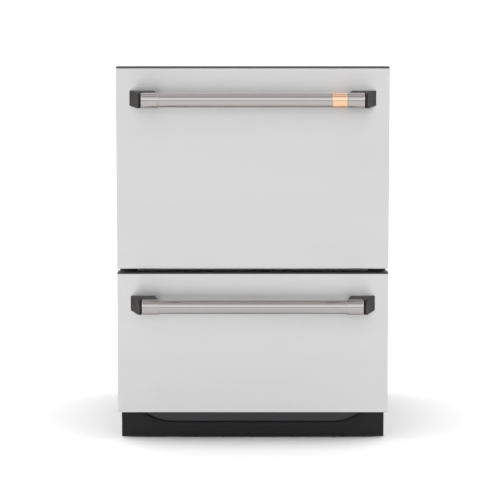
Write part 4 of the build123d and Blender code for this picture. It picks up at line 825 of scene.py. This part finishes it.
def pocket_edge(x):
    """Height of the pocket's edge above the plate's foot: flat, then a circular curl upwards."""
    beyond = np.clip(np.abs(x) - POCKET_FLAT, 0, None)
    run = POCKET_SPAN - POCKET_FLAT
    climb = KICK[1][2] - KICK[0][2] - POCKET_RISE
    radius = (run * run + climb * climb) / (2 * climb)
    return POCKET_RISE + radius - np.sqrt(np.clip(radius ** 2 - beyond ** 2, 0, None))


def walled(front, back):
    """Vertices and faces of a sheet, from two grids of (rows, columns, 3), its front and its back.

    Quads cover both grids, with the back's turned round. A band of quads joins their rims: along
    the first row, up the last column, back along the last row and down the first column.
    """
    rows, columns, _ = front.shape
    count = rows * columns
    index = np.arange(count).reshape(rows, columns)
    quads = np.stack([index[:-1, :-1], index[:-1, 1:], index[1:, 1:], index[1:, :-1]], -1).reshape(-1, 4)
    rim = np.concatenate([index[0], index[1:, -1], index[-1, -2::-1], index[-2:0:-1, 0]])
    after = np.roll(rim, -1)
    band = np.column_stack([rim, rim + count, after + count, after])
    faces = np.concatenate([quads, quads[:, ::-1] + count, band])
    vertices = np.concatenate([front.reshape(-1, 3), back.reshape(-1, 3)])
    return vertices, outward(vertices - vertices.mean(0), [tuple(face) for face in faces.tolist()])


print("pocket edge from", round(float(pocket_edge(0.0)), 4), "to", round(float(pocket_edge(POCKET_SPAN)), 4))

# %% [markdown]
# The plate's foot and sides roll back by most of a quarter circle, so that its outline looks
# moulded too. Two thin walls at its ends reach back to the base pan.

# %% Make the toe plate
PLATE_GRID = (300, 60)
PLATE_WALL = 2 * MM
POCKET_DEPTH = 5 * MM
POCKET_BLEND = 5 * MM
ROLL = 1.5 * MM
ROLL_DROP = 0.8 * ROLL
RETURN_GAP = 0.2 * MM
RETURN_CORNER = 0.4 * MM


def make_toe_plate():
    """Front surface y = y0 + depth * smoothstep((height - edge) / blend), closed by a back wall."""
    low, high = KICK
    half = high[0]
    x = np.linspace(-half, half, PLATE_GRID[0])
    z = np.linspace(0, high[2] - low[2], PLATE_GRID[1])
    grid_x, grid_z = np.meshgrid(x, z)
    slope = np.gradient(pocket_edge(x), x)
    distance = (grid_z - pocket_edge(x)[None, :]) / np.sqrt(1 + slope[None, :] ** 2)
    step = np.clip(distance / POCKET_BLEND + 0.5, 0, 1)
    depth = POCKET_DEPTH * step * step * (3 - 2 * step)
    rim = np.minimum(half - np.abs(grid_x), grid_z)
    roll = np.clip(1 - rim / ROLL, 0, 1)
    depth = depth + ROLL_DROP * (1 - np.sqrt(np.clip(1 - roll ** 2, 0, 1)))
    front = np.stack([grid_x, low[1] + depth, low[2] + grid_z], axis=-1)
    piece = link("toe_plate_moulding", *walled(front, front + np.array([0, PLATE_WALL, 0])))
    return stand_for(sharpen(piece, 40), kick_plastic, "cabinet", "kick_plastic", "kick_plate")


def make_toe_returns():
    """The plate's two end walls, which reach back to the base pan."""
    low, high = KICK
    stacks = []
    for side in (-1, 1):
        centre_x = side * (high[0] - PLATE_WALL / 2 - ROLL / 2)
        profile = [(0, low[1] + PLATE_WALL), (0, high[1])]
        centre = (centre_x, (low[2] + high[2]) / 2)
        half = (PLATE_WALL / 2, (high[2] - low[2]) / 2 - RETURN_GAP)
        stacks.append(stack_y(centre, half, profile, RETURN_CORNER, 3))
    piece = sharpen(joined("toe_plate_returns", stacks), 40)
    return stand_for(piece, kick_plastic, "cabinet", "kick_plastic", "kick_plate")


make_toe_plate()
make_toe_returns()

# %% [markdown]
# ## The top caps
#
# A dark strip closes the top edge of each front, with mitred ends. It is a stack of loops along Z:
# the lower loops are full size, the upper ones draw in by the mitre and a small rounding.

# %% Make the caps
CAP_MITRE = 1.6 * MM
CAP_CORNER = 1.5 * MM
CAP_ROLL = 0.3 * MM
WALL_SHARE = 0.35
MITRE_SHARE = 0.75


def stack_z(centre, half, profile, corner, steps=CORNER_STEPS):
    """Loops along Z for a part seen from above: each (inset, z) of the profile is one loop."""
    rows = []
    for inset, z in profile:
        flat = rounded_loop(half[0] - inset, half[1] - inset, max(corner - inset, LEAST_CORNER), steps)
        x, y = centre[0] + flat[:, 0], centre[1] + flat[:, 1]
        rows.append(np.column_stack([x, y, np.full(len(flat), z)]))
    return np.array(rows)


def make_cap(drawer):
    """Cap strip: a straight wall for a share of its height, then a mitre up to the top face."""
    low, high = corners(f"{drawer}_top_cap")
    centre = ((low[0] + high[0]) / 2, (low[1] + high[1]) / 2)
    half = ((high[0] - low[0]) / 2, (high[1] - low[1]) / 2)
    tall = high[2] - low[2]
    wall = [(0, low[2]), (0, low[2] + tall * WALL_SHARE)]
    mitre = [(CAP_MITRE * MITRE_SHARE, high[2] - CAP_ROLL), (CAP_MITRE, high[2])]
    loops = stack_z(centre, half, wall + mitre, CAP_CORNER)
    piece = sharpen(lofted(f"{drawer}_cap_strip", loops), 25)
    return stand_for(piece, cap_plastic, f"{drawer}_drawer", "cap_plastic", f"{drawer}_top_cap")


for drawer in DRAWERS:
    make_cap(drawer)

# %% [markdown]
# ## The inner trays and the seals
#
# Behind each stainless pan sits a white tray, vacuum-formed with a sunk panel, and round it runs a
# magnetic seal. A real seal's profile has a root that plugs into the tray, a bellows, and a hollow that
# holds the magnet; here only the bellows is carried along a rounded rectangle, mitred at its corners.

# %% Make the trays and seals
TRAY_WALL = 2 * MM
TRAY_EDGE = 3 * MM
TRAY_CORNER = 6 * MM
TRAY_SEAM = 0.2 * MM
SUNK_MARGIN = 106 * MM
SUNK_RISE = 74 * MM
SUNK_SLOPE = ((0, 0), (1.5 * MM, 1 * MM), (4 * MM, 4.5 * MM), (6 * MM, 5 * MM))
SEAL_WIDTH = 16 * MM
SEAL_WAIST = 3.4 * MM
SEAL_CORNER = 24 * MM
SEAL_STEPS = 25


def make_tray(drawer):
    """Tray = outer wall from the seam, rounded rim, flat back, and a panel sunk into the back.

    The panel's loops start SUNK_RISE from the top and bottom, and follow (inset, depth) steps.
    Their x is then squeezed, so that they start SUNK_MARGIN from the sides.
    """
    low, high = corners(f"{drawer}_front_tray")
    centre = ((low[0] + high[0]) / 2, (low[2] + high[2]) / 2)
    half = ((high[0] - low[0]) / 2, (high[2] - low[2]) / 2)
    edge = quarter(TRAY_EDGE)[::-1]
    profile = [(TRAY_WALL, low[1] + TRAY_SEAM), (0, low[1] + TRAY_SEAM)]
    profile += [(inset, high[1] - depth) for inset, depth in edge]
    profile += [(SUNK_RISE + inset, high[1] - depth) for inset, depth in SUNK_SLOPE]
    loops = stack_y(centre, half, profile, TRAY_CORNER)
    sunk = loops[-len(SUNK_SLOPE):]
    squeeze = (half[0] - SUNK_MARGIN) / (half[0] - SUNK_RISE)
    sunk[:, :, 0] = centre[0] + (sunk[:, :, 0] - centre[0]) * squeeze
    piece = sharpen(lofted(f"{drawer}_tray_moulding", loops), 35)
    return stand_for(piece, liner_plastic, f"{drawer}_drawer", "liner_plastic", f"{drawer}_front_tray")


def make_seal(drawer):
    """Profile (across, y) carried round: loop k is a rounded rectangle at that inset and y.

    Over the seal's depth, t from 0 to 1, each side draws in by
    waist * sin(180 t)^2 * (1 - sin(540 t)^2 / 2), in degrees, which makes the bellows.
    """
    low, high = corners(f"{drawer}_gasket")
    centre = ((low[0] + high[0]) / 2, (low[2] + high[2]) / 2)
    half = ((high[0] - low[0]) / 2, (high[2] - low[2]) / 2)
    deep = high[1] - low[1]
    t = np.linspace(0, 1, SEAL_STEPS)
    waist = SEAL_WAIST * np.sin(math.pi * t) ** 2 * (1 - 0.5 * np.sin(3 * math.pi * t) ** 2)
    outer = [(w, low[1] + s * deep) for w, s in zip(waist, t)]
    inner = [(SEAL_WIDTH - w, low[1] + s * deep) for w, s in zip(waist, t)][::-1]
    loops = stack_y(centre, half, outer + inner, SEAL_CORNER)
    piece = sharpen(lofted(f"{drawer}_seal_bellows", loops, close_rows=True), 45)
    return stand_for(piece, seal_rubber, f"{drawer}_drawer", "seal_rubber", f"{drawer}_gasket")


for drawer in DRAWERS:
    make_tray(drawer)
    make_seal(drawer)

# %% [markdown]
# ## The bins
#
# A bin is injection moulded from clear plastic. Its walls lean out a little so that it leaves the
# mould, its floor corners are round, and a rim folds over both sides. The stack of loops runs up
# the outside, over the rim and down the inside, so light passes through two real surfaces.

# %% Make the bins
BIN_WALL = 2.6 * MM
BIN_LEAN = 2.0 * MM
BIN_FOOT = 9 * MM
BIN_CORNER = 20 * MM
BIN_LEVELS = (0.33, 0.66, 0.97, 1)
BIN_LIP = ((0.3 * MM, 0.5 * MM), (1.2 * MM, 0), (BIN_WALL, 0.6 * MM))
RIM_WIDTH = 8 * MM
RIM_EDGE = 0.6 * MM
RIM_SUNK = 0.4 * MM
RIM_CORNER = 4 * MM


def make_bin(drawer):
    """Outside: foot curve, leaning wall, lip. Inside: the same wall, one thickness in.

    At height share s the wall is inset by lean * (1 - s). The lip's steps are (inset, drop).
    """
    low, high = corners(f"{drawer}_bin")
    rim = np.array([RIM_WIDTH, 0, 0])
    low, high = low + rim, high - rim
    centre = ((low[0] + high[0]) / 2, (low[1] + high[1]) / 2)
    half = ((high[0] - low[0]) / 2, (high[1] - low[1]) / 2)
    straight = high[2] - low[2] - BIN_FOOT - BIN_WALL
    foot = [(BIN_LEAN + inset, low[2] + depth) for inset, depth in quarter(BIN_FOOT, 7)]
    lean = [(BIN_LEAN * (1 - s), low[2] + BIN_FOOT + s * straight) for s in BIN_LEVELS]
    lip = [(inset, high[2] - drop) for inset, drop in BIN_LIP]
    inside = [(inset + BIN_WALL, z) for inset, z in lean[::-1]]
    curve = quarter(BIN_FOOT - BIN_WALL, 6)[::-1]
    floor = [(BIN_LEAN + BIN_WALL + inset, low[2] + BIN_WALL + depth) for inset, depth in curve]
    profile = foot + lean + lip + inside + floor
    loops = stack_z(centre, half, profile, BIN_CORNER)
    rims = []
    for side in (-1, 1):
        rim_half = ((RIM_WIDTH + BIN_WALL) / 2, half[1] - BIN_CORNER)
        rim_centre = (side * (half[0] + (RIM_WIDTH - BIN_WALL) / 2), centre[1])
        under, over = high[2] - BIN_WALL, high[2] - RIM_SUNK
        flat = [(RIM_EDGE, under), (0, under + RIM_EDGE), (0, over - RIM_EDGE), (RIM_EDGE, over)]
        rims.append(stack_z(rim_centre, rim_half, flat, RIM_CORNER))
    piece = sharpen(joined(f"{drawer}_bin_moulding", [loops] + rims), 40)
    return stand_for(piece, bin_clear, f"{drawer}_drawer", "bin_plastic", f"{drawer}_bin")


for drawer in DRAWERS:
    make_bin(drawer)

# %% [markdown]
# ## The rear cover
#
# Louvres are pressed out of the rear cover over its slots, so that warm air leaves and dust falls
# past. A louvre is a quarter-round hood, open at its foot: upwards its reach falls like a sine to
# nothing, and along it both ends close quickly. One small grid of points serves for all of them.

# %% Make the louvres
LOUVRE_LENGTH = 46 * MM
LOUVRE_RISE = 8 * MM
LOUVRE_PROUD = 1.7 * MM
LOUVRE_SHEET = 0.7 * MM
LOUVRE_DROP = 3 * MM
LOUVRE_PITCH = (52 * MM, 15 * MM)
LOUVRE_COUNT = (7, 9)
LOUVRE_GRID = (9, 5)
LOUVRE_X = -60 * MM
PAN_SHEET = 1.5 * MM
DECK_SHEET = 1 * MM


def make_louvres():
    """Hood surface: out(u, v) = proud * sqrt(1 - u^6) * sin((1 - v) * 90 degrees).

    u runs along the hood from -1 to 1, and v upwards from 0 to 1.
    """
    low, high = corners("machine_cover")
    pan_top = corners("base_pan")[0][2] + PAN_SHEET
    roof = corners("bottom_deck")[1][2] - DECK_SHEET
    u = np.linspace(-1, 1, LOUVRE_GRID[0])
    v = np.linspace(0, 1, LOUVRE_GRID[1])
    grid_u, grid_v = np.meshgrid(u, v)
    out = LOUVRE_PROUD * np.sqrt(np.clip(1 - grid_u ** 6, 0, 1)) * np.sin((1 - grid_v) * math.pi / 2)
    outer = np.stack([grid_u * LOUVRE_LENGTH / 2, high[1] + out, grid_v * LOUVRE_RISE - LOUVRE_DROP], -1)
    single, faces = walled(outer, outer - np.array([0, LOUVRE_SHEET, 0]))
    a, b = np.meshgrid(np.arange(LOUVRE_COUNT[0]), np.arange(LOUVRE_COUNT[1]))
    centres = np.column_stack([
        LOUVRE_X + (a.ravel() - (LOUVRE_COUNT[0] - 1) / 2) * LOUVRE_PITCH[0],
        np.zeros(a.size),
        (pan_top + roof) / 2 + (b.ravel() - (LOUVRE_COUNT[1] - 1) / 2) * LOUVRE_PITCH[1],
    ])
    vertices = (centres[:, None, :] + single[None, :, :]).reshape(-1, 3)
    starts = np.arange(len(centres)) * len(single)
    every = (np.array(faces)[None, :, :] + starts[:, None, None]).reshape(-1, 4)
    piece = sharpen(link("rear_louvres", vertices, [tuple(f) for f in every.tolist()]), 40)
    return stand_for(piece, case_paint, "cabinet", "case_paint")


make_louvres()

# %% [markdown]
# ## Marks on the buttons
#
# Three plain marks tell the buttons apart: a broken ring for power, a bar for warmer and a cross
# for colder settings. They are thin inlays, about a tenth of a millimetre proud of each button.

# %% Make the marks
MARK_PROUD = 0.12 * MM
MARK_SIZE = 2.6 * MM
MARK_LINE = 0.45 * MM
RING_LINE = MARK_LINE * 1.6
RING_GAP = 35
STROKE_RISE = MARK_SIZE * 0.8
STROKE_HALF = MARK_SIZE * 0.55
CROSS_LIFT = 0.02 * MM


def mark_bar(x, y, z, half_x, half_z):
    """A thin plate on the button's face, as one stack of loops."""
    profile = [(0, y + MARK_PROUD), (0, y - MARK_PROUD)]
    return stack_y((x, z), (half_x, half_z), profile, MARK_LINE / 2, 4)


def mark_ring(x, y, z):
    """Ring with a gap at its top: angles from RING_GAP degrees past the top round to as far before."""
    t = np.linspace(math.radians(90 + RING_GAP), math.radians(450 - RING_GAP), 33)
    inner = MARK_SIZE - RING_LINE
    rows = []
    for r, out in ((MARK_SIZE, 1), (MARK_SIZE, -1), (inner, -1), (inner, 1)):
        across, up = x + r * np.cos(t), z + r * np.sin(t)
        rows.append(np.column_stack([across, np.full(len(t), y + out * MARK_PROUD), up]))
    return np.array(rows).transpose(1, 0, 2)


def make_mark(button, kind):
    """The mark on one button's face."""
    low, high = corners(button)
    x, y, z = (low[0] + high[0]) / 2, low[1], (low[2] + high[2]) / 2
    if kind == "power":
        stacks = [mark_ring(x, y, z), mark_bar(x, y, z + STROKE_RISE, MARK_LINE, STROKE_HALF)]
    else:
        stacks = [mark_bar(x, y, z, MARK_SIZE, MARK_LINE)]
        if kind == "cross":
            stacks.append(mark_bar(x, y - CROSS_LIFT, z, MARK_LINE, MARK_SIZE))
    return stand_for(joined(f"{button}_mark", stacks), icon_white, button, "button_plastic")


for button, kind in (("power_button", "power"), ("warmer_button", "bar"), ("cooler_button", "cross")):
    make_mark(button, kind)

# %% [markdown]
# ## Floor and light
#
# The setting is a plain white floor. Two kinds of light could shape it, lamps and a lit surround,
# and steel treats them differently: it mirrors both. A lamp seen in a round bar is a hard white
# stripe, so the soft panels and the wide sun below are hidden from reflections, and only lift the
# dull surfaces and lay a soft shadow.

# %% Make the floor and the lamps
FLOOR_RADIUS = 60.0
FLOOR_SIDES = 96
SUN_POWER = 0.30
SUN_SPREAD = math.radians(70)
SUN_TURN = (math.radians(18), math.radians(-8), 0)


def make_floor():
    """A large disc at floor level: one ring of points about the origin, closed by one face."""
    t = np.arange(FLOOR_SIDES) / FLOOR_SIDES * 2 * math.pi
    ring = np.column_stack([FLOOR_RADIUS * np.cos(t), FLOOR_RADIUS * np.sin(t), 0 * t])
    floor = link("floor", ring, [tuple(range(FLOOR_SIDES))], smooth=False)
    material, _, _, shader, _ = new_material("floor_white")
    shader.inputs["Base Color"].default_value = (0.93, 0.93, 0.93, 1)
    shader.inputs["Roughness"].default_value = 0.85
    shader.inputs["Specular IOR Level"].default_value = 0.15
    floor.data.materials.append(material)


def make_light(name, place, aim, size, power):
    """A rectangular soft light at a place, turned to face its aim."""
    data = bpy.data.lights.new(name, "AREA")
    data.shape = "RECTANGLE"
    data.size, data.size_y = size
    data.energy = power
    light = bpy.data.objects.new(name, data)
    light.visible_glossy = False
    scene.collection.objects.link(light)
    direction = np.array(place) - np.array(aim)
    across = math.hypot(direction[0], direction[1])
    light.location = place
    turn = math.atan2(direction[1], direction[0]) + math.pi / 2
    light.rotation_euler = (math.atan2(across, direction[2]), 0, turn)


def make_sun():
    """A wide, weak sun: it lifts the floor evenly and lays one very soft shadow."""
    data = bpy.data.lights.new("sky_panel", "SUN")
    data.energy = SUN_POWER
    data.angle = SUN_SPREAD
    sun = bpy.data.objects.new("sky_panel", data)
    sun.rotation_euler = SUN_TURN
    sun.visible_glossy = False
    scene.collection.objects.link(sun)


make_floor()
make_light("front_panel", place=(0.3, -3.2, 2.9), aim=(0, -0.3, 0.5), size=(4.0, 1.4), power=14)
make_light("left_strip", place=(-3.0, -1.6, 1.6), aim=(0, -0.2, 0.5), size=(0.7, 2.6), power=4)
make_light("right_strip", place=(3.2, -0.6, 1.7), aim=(0, 0, 0.5), size=(0.7, 2.6), power=4)
make_light("rear_panel", place=(-1.0, 3.4, 2.6), aim=(0, 0.2, 0.5), size=(3.2, 1.4), power=12)
make_sun()
print("lamps", len(bpy.data.lights))

# %% [markdown]
# So the steel takes its look from the surround alone. Its brightness goes by how high a direction
# points: even at the horizon, brightest a little above it, and dim high up, as in a studio with
# lit walls. Low in front a darker band stands for the unlit end of the room, which the bars mirror.

# %% Make the surround
SURROUND_STRENGTH = 1.15
SURROUND_LEVELS = ((0.10, 1.0), (0.22, 1.4), (0.52, 1.45), (0.76, 1.2), (0.86, 0.55), (0.945, 0.50),
                   (0.985, 1.0))
SURROUND_BLUE = 1.005
GROUND_COLOUR = (0.97, 0.97, 0.97, 1)
ZENITH_COLOUR = (0.75, 0.75, 0.76, 1)
ROOM_DARK = 0.38
DARK_FROM_Y = (-0.35, -0.75)
DARK_FROM_Z = (0.13, 0.07)


def make_surround():
    """World light by height of direction, with the room's dark end low in front.

    Darkness = smoothstep over the direction's y, times smoothstep over its z.
    """
    world = bpy.data.worlds.new("surround")
    scene.world = world
    world.use_nodes = True
    nodes, links = world.node_tree.nodes, world.node_tree.links
    place = nodes.new("ShaderNodeTexCoord")
    split = nodes.new("ShaderNodeSeparateXYZ")
    ramp = nodes.new("ShaderNodeValToRGB")
    links.new(place.outputs["Generated"], split.inputs["Vector"])
    links.new(split.outputs["Z"], ramp.inputs["Fac"])
    far = nodes.new("ShaderNodeMapRange")
    near = nodes.new("ShaderNodeMapRange")
    both = nodes.new("ShaderNodeMath")
    dark = nodes.new("ShaderNodeMix")
    dark.data_type = "RGBA"
    both.operation = "MULTIPLY"
    for node, socket, ends in ((far, "Y", DARK_FROM_Y), (near, "Z", DARK_FROM_Z)):
        node.interpolation_type = "SMOOTHSTEP"
        node.inputs["From Min"].default_value, node.inputs["From Max"].default_value = ends
        links.new(split.outputs[socket], node.inputs["Value"])
    links.new(far.outputs["Result"], both.inputs[0])
    links.new(near.outputs["Result"], both.inputs[1])
    links.new(both.outputs["Value"], dark.inputs["Factor"])
    links.new(ramp.outputs["Color"], dark.inputs[6])
    dark.inputs[7].default_value = (ROOM_DARK, ROOM_DARK, ROOM_DARK, 1)
    links.new(dark.outputs[2], nodes["Background"].inputs["Color"])
    nodes["Background"].inputs["Strength"].default_value = SURROUND_STRENGTH
    stops = ramp.color_ramp.elements
    stops[0].position, stops[0].color = 0.0, GROUND_COLOUR
    stops[1].position, stops[1].color = 1.0, ZENITH_COLOUR
    for position, level in SURROUND_LEVELS:
        stop = stops.new(position)
        stop.color = (level, level, level * SURROUND_BLUE, 1)


make_surround()
scene.view_settings.view_transform = "Standard"
print("surround steps", len(SURROUND_LEVELS))
